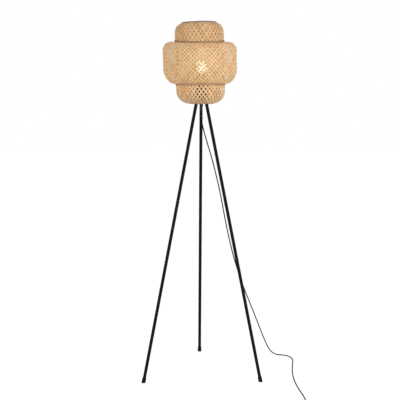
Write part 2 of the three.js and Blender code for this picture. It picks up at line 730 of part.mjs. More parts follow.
// Least gap of a line's tube to itself, between points more than a quarter turn apart
function leastGap(line) {
  let least = Infinity;
  for (let i = 0; i < line.length; i += 1) {
    for (let j = i + COIL_STEPS / 4; j < line.length; j += 1) {
      least = Math.min(least, line[i].distanceTo(line[j]) - 2 * CORD_R);
    }
  }
  return least;
}

// One unbroken tube with its rings square to a line that turns about Z
function coilTube(line) {
  const vertices = [];
  const faces = [];
  line.forEach((point, i) => {
    const ahead = line[Math.min(i + 1, line.length - 1)];
    const behind = line[Math.max(i - 1, 0)];
    const along = ahead.clone().sub(behind).normalize();
    const side = along.clone().cross(new THREE.Vector3(0, 0, 1)).normalize();
    const up = side.clone().cross(along);
    for (let k = 0; k < COIL_SIDES; k += 1) {
      const angle = (k * 2 * Math.PI) / COIL_SIDES;
      const corner = point.clone()
        .addScaledVector(side, CORD_R * Math.cos(angle))
        .addScaledVector(up, CORD_R * Math.sin(angle));
      vertices.push(...corner.toArray());
    }
  });
  const last = (line.length - 1) * COIL_SIDES;
  for (let i = 0; i < last; i += COIL_SIDES) {
    for (let k = 0; k < COIL_SIDES; k += 1) {
      const a = i + k;
      const b = i + ((k + 1) % COIL_SIDES);
      faces.push(a, a + COIL_SIDES, b, b, a + COIL_SIDES, b + COIL_SIDES);
    }
  }
  for (let k = 1; k < COIL_SIDES - 1; k += 1) faces.push(0, k, k + 1, last, last + k + 1, last + k);
  const geometry = new THREE.BufferGeometry();
  geometry.setAttribute('position', new THREE.Float32BufferAttribute(vertices, 3));
  geometry.setIndex(faces);
  return geometry;
}

function roundedRectangle(length, width, corner) {
  const shape = new THREE.Shape();
  const x = length / 2 - corner;
  const y = width / 2 - corner;
  shape.absarc(x, y, corner, 0, Math.PI / 2);
  shape.absarc(-x, y, corner, Math.PI / 2, Math.PI);
  shape.absarc(-x, -y, corner, Math.PI, (3 * Math.PI) / 2);
  shape.absarc(x, -y, corner, (3 * Math.PI) / 2, 2 * Math.PI);
  return shape;
}

function slab(length, width, corner, low, high) {
  const options = { depth: high - low, bevelEnabled: false, curveSegments: CORNER_STEPS };
  return new THREE.ExtrudeGeometry(roundedRectangle(length, width, corner), options).translate(0, 0, low);
}

// A band round the coil's bundle, lying in a plane through the coil's axis
function coilTie() {
  const bundle = 2 * CORD_R + COIL_PITCH;
  const inner = bundle + 2 * TIE_GAP;
  const outer = inner + 2 * TIE_T;
  const ring = cut(
    slab(outer, outer, 2 * TIE_T, -TIE_W / 2, TIE_W / 2),
    slab(inner, inner, TIE_T, -TIE_W / 2 - OVERRUN, TIE_W / 2 + OVERRUN),
  );
  return ring.rotateY(Math.PI / 2);
}

function addCord(root, lamp) {
  const tailR = GLAND_TAIL_R;
  const bore = CORD_R + CLEAR;
  const socket = NIPPLE_R + CLEAR;
  const tailTop = CORD_EXIT_Z + GLAND_TAIL_H;
  const gripLow = GLAND_TOP - NIPPLE_GRIP - CLEAR;
  const gland = turned(
    [[bore, CORD_EXIT_Z], [GLAND_TIP_R, CORD_EXIT_Z], [tailR, tailTop], [GLAND_R, tailTop],
      [GLAND_R, GLAND_TOP], [socket, GLAND_TOP], [socket, gripLow], [bore, gripLow], [bore, CORD_EXIT_Z]],
    SMALL_SIDES,
  );
  piece(lamp, 'cord_gland', gland, blackPlastic);
  piece(lamp, 'cord_inner', post(CORD_R, CORD_EXIT_Z, CORE_BOTTOM - CLEAR), cordSkin);
  piece(root, 'cord_hanging', cordTube(HANGING_ROUTE, CORD_STEPS), cordSkin);

  const tail = [
    [SWITCH_X - RELIEF_TIP_X - CLEAR, SWITCH_Y, CORD_ENTRY_Z],
    [SWITCH_X - RELIEF_TIP_X - 12, SWITCH_Y, CORD_ENTRY_Z - 0.6],
    [(SWITCH_X - RELIEF_TIP_X + COIL_X) / 2, SWITCH_Y, (CORD_ENTRY_Z + COIL_Z) / 2],
    [COIL_X + 18, SWITCH_Y, COIL_Z + 0.3],
    [COIL_X + 2 * CORD_R + CLEAR, SWITCH_Y, COIL_Z],
  ];
  piece(root, 'cord_tail', cordTube(tail, LEAD_STEPS), cordSkin);

  const line = coilLine();
  console.log(`coil: least gap to itself ${leastGap(line).toFixed(2)} mm`);
  const coil = piece(root, 'cord_coil', coilTube(line), cordSkin);
  coil.position.set(COIL_X, COIL_Y, COIL_Z);
  const tie = piece(root, 'coil_tie', coilTie(), rubber);
  tie.position.set(COIL_X, COIL_Y + COIL_MIDDLE_R, COIL_Z + COIL_PITCH / 2);

  const lead = [
    [COIL_X - 2 * CORD_R - CLEAR, SWITCH_Y, COIL_Z + COIL_PITCH],
    [COIL_X - 20, SWITCH_Y, COIL_Z + COIL_PITCH - 0.2],
    [(COIL_X + PLUG_BACK_X) / 2, SWITCH_Y, (COIL_Z + COIL_PITCH + PLUG_Z) / 2],
    [PLUG_BACK_X + RELIEF_L + 12, SWITCH_Y, PLUG_Z + 0.2],
    [PLUG_BACK_X + RELIEF_L + CLEAR, SWITCH_Y, PLUG_Z],
  ];
  piece(root, 'cord_lead', cordTube(lead, LEAD_STEPS), cordSkin);
}

// A tapered sleeve round the cord, pointing along +X, from a neck inside the housing to its tip
function relief(neckL) {
  return turned(
    [[0, -neckL], [RELIEF_NECK_R, -neckL], [RELIEF_NECK_R, CLEAR], [RELIEF_BASE_R, CLEAR],
      [RELIEF_TIP_R, RELIEF_L], [0, RELIEF_L]],
    SMALL_SIDES,
  ).rotateY(Math.PI / 2);
}

// Foot switch

function switchBase() {
  const innerL = SWITCH_L - 2 * SWITCH_WALL;
  const innerW = SWITCH_W - 2 * SWITCH_WALL;
  const innerCorner = SWITCH_CORNER_R - SWITCH_WALL;
  const bosses = [-SWITCH_SCREW_X, SWITCH_SCREW_X];
  const cavity = cut(
    slab(innerL, innerW, innerCorner, SWITCH_WALL, SWITCH_SPLIT + OVERRUN),
    ...bosses.map((x) => post(BOSS_R, 0, SWITCH_SPLIT + 2 * OVERRUN).translate(x, 0, 0)),
  );
  return cut(
    slab(SWITCH_L, SWITCH_W, SWITCH_CORNER_R, 0, SWITCH_SPLIT),
    cavity,
    entryHole(),
    ...bosses.map((x) => post(SCREW_HEAD_R + CLEAR, -OVERRUN, SCREW_RECESS).translate(x, 0, 0)),
    ...bosses.map((x) => post(SCREW_R + CLEAR, -OVERRUN, SWITCH_SPLIT + OVERRUN).translate(x, 0, 0)),
  );
}

function entryHole() {
  const reach = SWITCH_L / 2 + OVERRUN;
  const through = post(RELIEF_NECK_R + CLEAR, -reach, reach);
  through.rotateY(Math.PI / 2).translate(0, 0, CORD_ENTRY_Z);
  const kept = SWITCH_SCREW_X + BOSS_R;
  return cut(through, slab(2 * kept, SWITCH_W, SWITCH_CORNER_R, -OVERRUN, SWITCH_H));
}

function switchCover() {
  const low = SWITCH_SPLIT + CLEAR;
  const ceiling = SWITCH_H - SWITCH_WALL;
  const innerL = SWITCH_L - 2 * SWITCH_WALL;
  const innerW = SWITCH_W - 2 * SWITCH_WALL;
  const innerCorner = SWITCH_CORNER_R - SWITCH_WALL;
  const bosses = [-SWITCH_SCREW_X, SWITCH_SCREW_X];
  const cavity = cut(
    slab(innerL, innerW, innerCorner, low - OVERRUN, ceiling),
    ...bosses.map((x) => post(BOSS_R, 0, SWITCH_H).translate(x, 0, 0)),
  );
  const screwTop = SCREW_RECESS - CLEAR + SCREW_L + CLEAR;
  return cut(
    slab(SWITCH_L, SWITCH_W, SWITCH_CORNER_R, low, SWITCH_H),
    cavity,
    entryHole(),
    post(BUTTON_R + CLEAR, ceiling - OVERRUN, SWITCH_H + OVERRUN, HUB_SIDES),
    ...bosses.map((x) => post(SCREW_R + CLEAR, low - OVERRUN, screwTop).translate(x, 0, 0)),
  );
}

function switchButton() {
  const flangeTop = SWITCH_H - SWITCH_WALL - CLEAR;
  const low = flangeTop - BUTTON_FLANGE_T;
  const top = SWITCH_H + BUTTON_PROUD;
  return turned(
    [[0, low], [BUTTON_FLANGE_R, low], [BUTTON_FLANGE_R, flangeTop], [BUTTON_R, flangeTop],
      ...arc(BUTTON_R - BUTTON_EDGE_R, top - BUTTON_EDGE_R, BUTTON_EDGE_R, BUTTON_EDGE_R, 0, Math.PI / 2),
      [0, top]],
    HUB_SIDES,
  );
}

function switchScrew() {
  const headTop = SCREW_RECESS - CLEAR;
  const low = headTop - SCREW_HEAD_H;
  return turned(
    [[0, low], [SCREW_HEAD_R, low], [SCREW_HEAD_R, headTop], [SCREW_R, headTop],
      [SCREW_R, headTop + SCREW_L], [0, headTop + SCREW_L]],
    TINY_SIDES,
  );
}

function addFootSwitch(root) {
  const body = new THREE.Group();
  body.position.set(SWITCH_X, SWITCH_Y, 0);
  root.add(body);
  piece(body, 'switch_base', switchBase(), blackPlastic);
  piece(body, 'switch_cover', switchCover(), blackPlastic);
  piece(body, 'switch_button', switchButton(), blackPlastic);
  const blockLow = SWITCH_WALL + CLEAR;
  const block = new THREE.BoxGeometry(BLOCK_L, BLOCK_W, BLOCK_H).translate(0, 0, blockLow + BLOCK_H / 2);
  piece(body, 'switch_block', block, ceramic);
  const springLow = blockLow + BLOCK_H + CLEAR;
  const springHigh = SWITCH_H - SWITCH_WALL - BUTTON_FLANGE_T - 2 * CLEAR;
  piece(body, 'switch_spring', tube(SPRING_R - SPRING_WIRE_T, SPRING_R, springLow, springHigh), plainSteel);
  [['left', -SWITCH_SCREW_X], ['right', SWITCH_SCREW_X]].forEach(([side, x]) => {
    piece(body, `switch_screw_${side}`, switchScrew(), plainSteel).position.x = x;
  });
  const neckL = SWITCH_WALL + RELIEF_GRIP;
  const reliefIn = piece(body, 'switch_relief_in', relief(neckL), rubber);
  reliefIn.position.set(SWITCH_L / 2, 0, CORD_ENTRY_Z);
  const reliefOut = piece(body, 'switch_relief_out', relief(neckL), rubber);
  reliefOut.position.set(-SWITCH_L / 2, 0, CORD_ENTRY_Z);
  reliefOut.rotation.z = Math.PI;
}

// Plug, lying flat with its pins along -X

function plugBody() {
  const outline = new THREE.Shape();
  const back = -PLUG_BEVEL;
  const front = -PLUG_L + PLUG_BEVEL;
  const wide = PLUG_W / 2 - PLUG_BEVEL;
  const narrow = PLUG_TAIL_W / 2 - PLUG_BEVEL / 2;
  const middle = (back + front) / 2;
  const bend = (2 * back + front) / 3;
  outline.moveTo(back, -narrow);
  outline.lineTo(back, narrow);
  outline.bezierCurveTo(bend, narrow, bend, wide, middle, wide);
  outline.lineTo(front, wide);
  outline.lineTo(front, -wide);
  outline.lineTo(middle, -wide);
  outline.bezierCurveTo(bend, -wide, bend, -narrow, back, -narrow);
  const options = {
    depth: PLUG_T - 2 * PLUG_BEVEL,
    bevelThickness: PLUG_BEVEL,
    bevelSize: PLUG_BEVEL,
    bevelSegments: 2,
    curveSegments: CORNER_STEPS,
  };
  return new THREE.ExtrudeGeometry(outline, options).translate(0, 0, PLUG_BEVEL);
}

// A pin along -X, thinner where its insulating sleeve is moulded on
function plugPin() {
  const face = PLUG_L + CLEAR;
  const sleeveTip = face + PIN_SLEEVE_L;
  return turned(
    [[0, face], [PIN_SLEEVE_R, face], [PIN_SLEEVE_R, sleeveTip], [PIN_R, sleeveTip],
      [PIN_R, PLUG_L + PIN_L], [0, PLUG_L + PIN_L]],
    TINY_SIDES,
  ).rotateY(-Math.PI / 2);
}

function addPlug(root) {
  const plug = new THREE.Group();
  plug.position.set(PLUG_BACK_X, SWITCH_Y, 0);
  root.add(plug);
  piece(plug, 'plug_body', plugBody(), blackPlastic);
  [['left', -PIN_SPACING / 2], ['right', PIN_SPACING / 2]].forEach(([side, y]) => {
    piece(plug, `plug_pin_${side}`, plugPin(), brass).position.set(0, y, PLUG_Z);
  });
  const plugRelief = piece(plug, 'plug_relief', relief(-CLEAR / 2), rubber);
  plugRelief.position.set(0, 0, PLUG_Z);
}

const root = new THREE.Group();
const lamp = new THREE.Group();
lamp.position.y = AXIS_Y;
root.add(lamp);
addStand(lamp);
addShade(lamp);
addLampholder(lamp);
addBulb(lamp);
addCord(root, lamp);
addFootSwitch(root);
addPlug(root);

export default root;
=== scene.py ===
"""A woven bamboo floor lamp on three steel legs, dressed round its fixed frame.

Every length is in metres, but for the cord's route. Places come from the frame's own boxes, or from the sizes
in the property groups.
"""

import json
import math

import bmesh
import bpy
import numpy as np
from bpy.props import FloatProperty, FloatVectorProperty, IntProperty, PointerProperty
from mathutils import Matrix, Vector

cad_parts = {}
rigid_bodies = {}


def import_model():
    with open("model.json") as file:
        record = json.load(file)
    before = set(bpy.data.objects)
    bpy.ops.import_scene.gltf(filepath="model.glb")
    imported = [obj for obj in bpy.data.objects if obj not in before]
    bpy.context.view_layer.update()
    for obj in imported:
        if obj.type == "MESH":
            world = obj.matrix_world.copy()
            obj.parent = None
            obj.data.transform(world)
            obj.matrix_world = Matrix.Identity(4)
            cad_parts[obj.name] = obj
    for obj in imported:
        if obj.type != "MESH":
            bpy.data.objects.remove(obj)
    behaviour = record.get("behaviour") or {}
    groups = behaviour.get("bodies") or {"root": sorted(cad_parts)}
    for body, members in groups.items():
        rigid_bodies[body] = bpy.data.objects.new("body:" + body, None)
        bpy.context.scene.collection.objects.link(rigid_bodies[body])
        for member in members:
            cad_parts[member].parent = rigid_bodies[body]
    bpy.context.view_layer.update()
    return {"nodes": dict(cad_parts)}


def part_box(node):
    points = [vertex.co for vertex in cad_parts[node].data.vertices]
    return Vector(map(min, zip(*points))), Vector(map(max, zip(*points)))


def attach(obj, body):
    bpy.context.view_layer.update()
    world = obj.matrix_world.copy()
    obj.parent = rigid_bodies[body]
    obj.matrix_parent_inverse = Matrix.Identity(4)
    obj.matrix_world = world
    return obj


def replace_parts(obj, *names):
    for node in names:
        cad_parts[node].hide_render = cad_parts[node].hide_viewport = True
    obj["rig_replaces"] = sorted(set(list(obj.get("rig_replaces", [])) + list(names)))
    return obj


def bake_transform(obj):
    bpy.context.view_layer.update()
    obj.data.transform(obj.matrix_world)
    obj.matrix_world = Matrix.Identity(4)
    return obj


bl_info = {
    "name": "Woven floor lamp",
    "version": (1, 0, 0),
    "blender": (4, 5, 0),
    "location": "3D View > Sidebar > Lamp",
    "description": "Builds a woven bamboo floor lamp piece by piece",
    "category": "Add Mesh",
}

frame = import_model()

TAU = 2 * math.pi
RIGHT = np.array([1.0, 0.0, 0.0])
UP = np.array([0.0, 0.0, 1.0])


def low(node):
    return np.array(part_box(node)[0])


def high(node):
    return np.array(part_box(node)[1])


def middle(node):
    return (low(node) + high(node)) / 2


def ends(node):
    """The heights of a node's foot and top."""
    return low(node)[2], high(node)[2]


def floor_point(node):
    """The point of the floor under a node's middle."""
    return middle(node) * (1, 1, 0)


AXIS = floor_point("hub_body")
GLOBE_RADIUS = 0.0225
BULB_CENTRE = AXIS + UP * (high("bulb_glass")[2] - GLOBE_RADIUS)


# Sizes and colours that a user would change


def length(name, description, default):
    return FloatProperty(name=name, description=description, default=default, unit="LENGTH")


def share(name, description, default):
    return FloatProperty(
        name=name, description=description, default=default, min=0, max=1, subtype="FACTOR"
    )


def in_degrees(name, description, degrees):
    return FloatProperty(
        name=name, description=description, default=math.radians(degrees), subtype="ANGLE"
    )


def amount(name, description, default):
    return FloatProperty(name=name, description=description, default=default, min=0)


def count(name, description, default):
    return IntProperty(name=name, description=description, default=default, min=1)


def colour(name, description, default):
    return FloatVectorProperty(
        name=name, description=description, default=default, size=3, min=0, max=1, subtype="COLOR"
    )


class ShadeSizes(bpy.types.PropertyGroup):
    tier_radius: length("Tier radius", "Outside of crown and bowl", 0.102)
    top_opening: length("Top opening", "Radius of the crown's mouth", 0.068)
    bottom_opening: length("Bottom opening", "Radius of the bowl's mouth", 0.050)
    crown_shoulder: length("Crown shoulder", "Height of the crown's rounded shoulder", 0.040)
    bowl_shoulder: length("Bowl shoulder", "Height of the bowl's rounded shoulder", 0.051)
    band_depth: length("Band depth", "From the tiers' outside to the band's", 0.052)
    band_top_width: share("Upper shoulder", "Width of the band's upper shoulder, of its depth", 0.73)
    band_bottom_width: share("Lower shoulder", "Width of the band's lower shoulder, of its depth", 0.94)
    band_top_height: length("Upper shoulder height", "Height of the band's upper shoulder", 0.034)
    band_bottom_height: length("Lower shoulder height", "Height of the band's lower shoulder", 0.066)
    wall: length("Wall", "Thickness of the weave", 0.002)
    creep: length("Creep", "How far the woven shade has crept aside, at its middle", 0.0056)
    lean: share("Lean", "Creep aside for each metre of height above its middle", 0.0215)
    upper_squeeze: length("Upper squeeze", "How far the band's upper seam is drawn down at the front", 0.0105)
    lower_squeeze: length("Lower squeeze", "How far the band's lower seam is drawn up at the front", 0.003)
    droop: length("Droop", "How far the crown's left shoulder has sunk", 0.0032)
    rim_rise: length("Rim rise", "How far the top rim stands above the weave", 0.0028)


class WeaveSizes(bpy.types.PropertyGroup):
    tier_strips: count("Tier strips", "Strips each way round crown and bowl", 38)
    band_strips: count("Band strips", "Strips each way round the band", 56)
    tier_slant: share("Tier slant", "Cosine of a strip's angle to the level where a tier is widest", 0.61)
    band_slant: share("Band slant", "The same for the band", 0.69)
    crown_strip: length("Crown strip", "Width of a bamboo strip in the crown", 0.0085)
    band_strip: length("Band strip", "Width of a bamboo strip in the band", 0.0080)
    bowl_strip: length("Bowl strip", "Width of a bamboo strip in the bowl", 0.0076)
    taper: share("Taper", "How much narrower the strips are at the front and wider behind", 0.11)
    strip_thickness: length("Strip thickness", "Thickness of a bamboo strip", 0.0007)
    swing: length("Swing", "How far a strip passes over and under the weave's middle", 0.00045)
    wander: length("Wander", "How far a strip strays from its line", 0.0007)
    drift: length("Drift", "How far the whole weave strays from an even net, behind", 0.0042)
    step: length("Step", "Distance between a strip's rings of points, up the wall", 0.0026)


class RimSizes(bpy.types.PropertyGroup):
    rim_edge: length("Rim edge", "From the middle of a rim's cane out to the middle of its binding", 0.0022)
    rim_reach: length("Rim reach", "How far a rim's binding stands off its cane across the wall", 0.0036)
    rim_lift: length("Rim lift", "How far a rim's binding stands off its cane above and below", 0.0015)
    rim_width: length("Rim binding", "Width of the cane round a rim", 0.0040)
    rim_thickness: length("Rim binding's thickness", "Thickness of the cane round a rim", 0.0007)
    seam_turns: count("Seam turns", "Turns of the cane that binds a seam", 74)
    seam_width: length("Seam binding", "Width of the cane round a seam's hoop", 0.0024)
    seam_thickness: length("Seam thickness", "Thickness of the hoop in a seam and of its binding", 0.0005)
    seam_lift: length("Seam lift", "How far a seam's binding stands off its hoop above and below", 0.0006)


class StandSizes(bpy.types.PropertyGroup):
    leg_radius: length("Leg radius", "Radius of a leg's tube", 0.0068)
    leg_top: length("Leg top", "Distance of a leg from the lamp's axis at the hub's face", 0.0241)
    hub_face: length("Hub face", "Height of the hub's face at the legs", 1.166)
    foot_circle: length("Foot circle", "Radius of the circle where the legs meet the floor", 0.285)
    foot_height: length("Foot height", "Length of a rubber foot", 0.022)
    foot_radius: length("Foot radius", "Radius of a rubber foot's sole", 0.0088)


class CordSizes(bpy.types.PropertyGroup):
    radius: length("Cord radius", "Radius of the cord", 0.0025)
    coil_radius: length("Coil radius", "Radius at the middle of the coil's turns", 0.0275)
    coil_pitch: length("Coil pitch", "Distance between neighbouring turns", 0.0056)
    coil_loops: count("Coil loops", "Turns in the coil", 4)


class LampColours(bpy.types.PropertyGroup):
    bamboo_pale: colour("Pale bamboo", "The palest strips", (0.91, 0.68, 0.425))
    bamboo_warm: colour("Warm bamboo", "Most strips", (0.82, 0.555, 0.305))
    bamboo_dark: colour("Dark bamboo", "The darkest strips and a strip's edges", (0.61, 0.38, 0.185))
    bamboo_ring: colour("Bamboo ring", "Node rings across a strip", (0.30, 0.17, 0.08))
    # Painted shade of the weave: what lies low in it, in its creases and on its inner faces
    painted_weave_shade: colour("Bamboo hollow", "What lies low in the weave", (0.46, 0.235, 0.085))
    soaked_light: colour("Soaked light", "The bulb's light in the weave near it", (1.0, 0.55, 0.16))
    # Partly the rim cane's own colour and partly painted shade of a rim seen edge-on
    cane: colour("Cane", "The darker cane of the rims", (0.28, 0.22, 0.17))
    # Partly the seam cane's own colour and partly painted shade of the creases where the band meets the tiers
    seam: colour("Seam", "The cane in the band's seams", (0.40, 0.255, 0.15))
    black_paint: colour("Black paint", "Powder coat on the legs and hub", (0.006, 0.006, 0.0065))
    wire: colour("Wire", "Lacquer on the wire frame", (0.012, 0.010, 0.009))
    plain_steel: colour("Plain steel", "Zinc plated steel", (0.56, 0.57, 0.58))
    rubber: colour("Rubber", "Feet, reliefs and tie", (0.007, 0.007, 0.007))
    plastic: colour("Plastic", "Lampholder, switch and plug", (0.014, 0.014, 0.015))
    cord: colour("Cord", "The cords' skin", (0.004, 0.004, 0.0045))
    brass: colour("Brass", "Contacts and pins", (0.78, 0.57, 0.27))
    ceramic: colour("Ceramic", "Insulators", (0.80, 0.77, 0.70))
    cap_metal: colour("Cap metal", "The bulb's screw cap", (0.72, 0.72, 0.74))
    glow: colour("Glow", "Light of the bulb", (1.0, 0.72, 0.40))


class StageSettings(bpy.types.PropertyGroup):
    distance: length("Distance", "From the camera to the lamp's axis", 3.8)
    height: length("Height", "Height of the camera", 1.294)
    pitch: in_degrees("Pitch", "How far the camera looks down", 8.07)
    turn: in_degrees("Turn", "How far the lamp is turned against the camera", 1.49)
    aside: length("Aside", "How far the camera stands aside of the lamp's axis", -0.0053)
    focal_pixels: amount("Focal length", "In pixels of the picture", 902.1)
    world_light: amount("World", "Strength of the light from all round", 0.49)
    floor_white: amount("Floor", "Strength of the white that the floor shows by itself", 0.86)
    key_power: amount("Key", "Power of the large lamp", 46.5)
    fill_power: amount("Fill", "Power of the lamp on the other side", 13.0)
    bulb_power: amount("Bulb", "Power of the light in the bulb", 0.3)


def sizes(name):
    return getattr(bpy.context.scene, name)


# Surfaces worked out on grids of points


class Shape:
    """Collects grids of points and makes one mesh of them."""

    def __init__(self):
        self.points = []
        self.faces = []
        self.along = []
        self.tones = []
        self.rises = []
        self.count = 0

    def _keep(self, points, uv, tone, rise=1.0):
        start = self.count
        points = points.reshape(-1, 3)
        self.points.append(points)
        self.along.append(np.zeros((len(points), 2)) if uv is None else uv.reshape(-1, 2))
        self.tones.append(np.broadcast_to(tone, len(points)))
        self.rises.append(np.broadcast_to(rise, len(points)))
        self.count += len(points)
        return start

    def add(self, grid, loop=False, poles=False, caps=False, uv=None, tone=0.0):
        """Adds a grid of rows and columns whose columns close on themselves.

        Face (i, j) joins row i to row i + 1 and column j to column j + 1. With loop the last row joins the
        first. With poles the first and last rows are each one point, joined by a fan. With caps they are
        closed by one flat face each.
        """
        rows, columns = grid.shape[:2]
        start = self._keep(grid, uv, tone)
        number = start + np.arange(rows * columns).reshape(rows, columns)
        following = np.roll(number, -1, axis=1)
        if poles:
            top, bottom = number[-1, 0], number[0, 0]
            fan = np.stack([np.full(columns, bottom), following[1], number[1]], axis=1)
            self.faces.append(fan)
            fan = np.stack([np.full(columns, top), number[-2], following[-2]], axis=1)
            self.faces.append(fan)
            number, following = number[1:-1], following[1:-1]
        lower, lower_next = (number, following) if loop else (number[:-1], following[:-1])
        upper, upper_next = np.roll(number, -1, axis=0), np.roll(following, -1, axis=0)
        if not loop:
            upper, upper_next = upper[:-1], upper_next[:-1]
        quads = np.stack([lower, lower_next, upper_next, upper], axis=-1).reshape(-1, 4)
        self.faces.append(quads)
        if caps:
            self.faces.append(number[:1, ::-1])
            self.faces.append(number[-1:])
        return self

    def add_many(self, grids, uv, tone, rise):
        """Adds many alike capped tubes at once: an array of tube, row, column and coordinate."""
        tubes, rows, columns = grids.shape[:3]
        start = self._keep(grids, uv, tone.ravel(), rise.ravel())
        number = start + np.arange(tubes * rows * columns).reshape(tubes, rows, columns)
        following = np.roll(number, -1, axis=2)
        quads = [number[:, :-1], following[:, :-1], following[:, 1:], number[:, 1:]]
        self.faces.append(np.stack(quads, axis=-1).reshape(-1, 4))
        self.faces.append(number[:, 0, ::-1])
        self.faces.append(number[:, -1])
        return self

    def object(self, name, material, sharp=35.0):
        """Makes the mesh and its object. Faces that meet at more than the sharp angle keep a crisp edge."""
        mesh = bpy.data.meshes.new(name)
        points = np.concatenate(self.points)
        corners = np.concatenate([f.ravel() for f in self.faces])
        counts = np.concatenate([np.full(len(f), f.shape[1]) for f in self.faces])
        starts = np.concatenate([[0], np.cumsum(counts)[:-1]])
        mesh.vertices.add(len(points))
        mesh.vertices.foreach_set("co", points.astype(np.float32).ravel())
        mesh.loops.add(len(corners))
        mesh.polygons.add(len(counts))
        mesh.polygons.foreach_set("loop_start", starts.astype(np.int32))
        mesh.loops.foreach_set("vertex_index", corners.astype(np.int32))
        uv = np.concatenate(self.along)[corners]
        mesh.uv_layers.new(name="along").data.foreach_set("uv", uv.astype(np.float32).ravel())
        for kept, values in (("tone", self.tones), ("rise", self.rises)):
            layer = mesh.attributes.new(kept, "FLOAT", "POINT")
            layer.data.foreach_set("value", np.concatenate(values).astype(np.float32))
        mesh.update(calc_edges=True)
        used = np.zeros(len(points), bool)
        used[corners] = True
        if not used.all():
            drop_loose(mesh)
        mesh.shade_smooth()
        mesh.set_sharp_from_angle(angle=math.radians(sharp))
        mesh.materials.append(material)
        return linked(name, mesh)


def linked(name, data):
    """A new object in the scene."""
    made = bpy.data.objects.new(name, data)
    bpy.context.scene.collection.objects.link(made)
    return made


def drop_loose(mesh):
    """Deletes the points that no face uses, which are the spare ones of each pole."""
    work = bmesh.new()
    work.from_mesh(mesh)
    bmesh.ops.delete(work, geom=[v for v in work.verts if not v.link_faces], context="VERTS")
    work.to_mesh(mesh)
    work.free()


def circle(sides):
    return np.arange(sides) * TAU / sides


def turned(profile, sides=64):
    """Radius and height pairs carried round Z: x = r cos a, y = r sin a. The profile runs up its outside."""
    profile = np.asarray(profile, float)
    angle = circle(sides)
    radius = profile[:, :1]
    height = np.broadcast_to(profile[:, 1:], (len(profile), sides))
    return np.stack([radius * np.cos(angle), radius * np.sin(angle), height], axis=-1)


def eased(corners, radius, closed=False, steps=4):
    """Rounds each corner of a line: a quadratic curve leaves and meets the sides a radius from the corner."""
    corners = np.asarray(corners, float)
    before = np.roll(corners, 1, axis=0) - corners
    after = np.roll(corners, -1, axis=0) - corners
    reach = [np.minimum(radius, 0.45 * np.linalg.norm(side, axis=1)) for side in (before, after)]
    cuts = [
        corners + side * (r / np.maximum(np.linalg.norm(side, axis=1), 1e-9))[:, None]
        for side, r in zip((before, after), reach)
    ]
    t = np.linspace(0, 1, steps)[:, None, None]
    curve = (1 - t) ** 2 * cuts[0] + 2 * t * (1 - t) * corners + t**2 * cuts[1]
    rounded = curve.transpose(1, 0, 2)
    if closed:
        return rounded.reshape(-1, corners.shape[1])
    inner = rounded[1:-1].reshape(-1, corners.shape[1])
    return np.concatenate([corners[:1], inner, corners[-1:]])


def unit(vectors):
    return vectors / np.maximum(np.linalg.norm(vectors, axis=-1, keepdims=True), 1e-12)


def spline(points, per_span):
    """A uniform Catmull-Rom curve through the points, with mirrored ends: on each span it is the cubic whose
    end slopes are half the chord between the neighbours."""
    p = np.asarray(points, float)
    p = np.concatenate([[2 * p[0] - p[1]], p, [2 * p[-1] - p[-2]]])
    t = np.arange(per_span)[:, None] / per_span
    a, b, c, d = p[:-3, None], p[1:-2, None], p[2:-1, None], p[3:, None]
    cubic = (
        2 * b + (c - a) * t + (2 * a - 5 * b + 4 * c - d) * t**2 + (3 * b - a - 3 * c + d) * t**3
    ) / 2
    return np.concatenate([cubic.reshape(-1, 3), p[-2:-1]])


def frames_along(path, start):
    """Two directions across each point of a path, which turn as little as they can: the second is the one
    before with its part along the path taken out, and the first is square to it and to the path."""
    along = unit(np.gradient(path, axis=0))
    up = np.empty_like(path)
    last = np.asarray(start, float)
    for i, direction in enumerate(along):
        last = last - direction * (last @ direction)
        last = last / np.linalg.norm(last)
        up[i] = last
    return np.cross(up, along), up


def round_loop(path):
    """Directions along a path that closes on itself."""
    return unit(np.roll(path, -1, axis=0) - np.roll(path, 1, axis=0))


def swept(path, radius, sides=16, start=RIGHT):
    """A round tube along a path: path point + radius (side cos a + up sin a). The radius may vary."""
    side, up = frames_along(path, start)
    angle = circle(sides)
    radius = np.broadcast_to(radius, len(path))[:, None, None]
    ring = side[:, None] * np.cos(angle)[:, None] + up[:, None] * np.sin(angle)[:, None]
    return path[:, None] + radius * ring


# How far each corner of a strip's section stands out from its middle, in halves of its thickness. The corners
# run from one edge over the outer face to the other edge and back under it.
SECTION_OUT = np.array([-0.5, 0.5, 1.0, 1.0, 0.5, -0.5, -1.0, -1.0])


def ribbon(path, along, normal, width, thickness, bevel, run):
    """A flat strip with bevelled edges along a path: path point + side width / 2 + normal thickness / 2. Its
    faces are as wide as the bevel's share of the strip. Run is the distance along it for its own map."""
    across = np.array([1.0, 1.0, bevel, -bevel, -1.0, -1.0, -bevel, bevel])
    side = unit(np.cross(normal, along))
    wide = np.broadcast_to(width, path.shape[:-1])[..., None, None] * across[:, None] / 2
    points = path[..., None, :] + side[..., None, :] * wide
    points = points + normal[..., None, :] * SECTION_OUT[:, None] * thickness / 2
    return points, np.stack(np.broadcast_arrays(run[..., None], across), axis=-1)


def distance_along(path):
    """The distance run at each point of a path, or of each of many paths."""
    run = np.cumsum(np.linalg.norm(np.diff(path, axis=-2), axis=-1), axis=-1)
    return np.concatenate([np.zeros(run.shape[:-1] + (1,)), run], axis=-1)


def squared_circle(sides, power):
    """Cosines and sines round a circle, raised to a power: the smaller it is, the squarer the outline."""
    angle = circle(sides)
    return [np.sign(wave) * np.abs(wave) ** power for wave in (np.cos(angle), np.sin(angle))]


def groove(radius, height, depth, half, lip=0.0):
    """Four corners of a groove round a turned piece, 1 mm wide at its floor. Its upper lip may stand back."""
    root, flat, upper = radius - depth, 0.0005, radius - lip
    return [(radius, height - half), (root, height - flat), (root, height + flat), (upper, height + half)]


def grip(grid, waves, depth):
    """Draws a turned grid in by a cosine of so many waves round it. The depth is a share of the radius."""
    wave = 0.5 - 0.5 * np.cos(waves * np.arctan2(grid[..., 1:2], grid[..., :1]))
    grid[..., :2] *= 1 - depth * wave


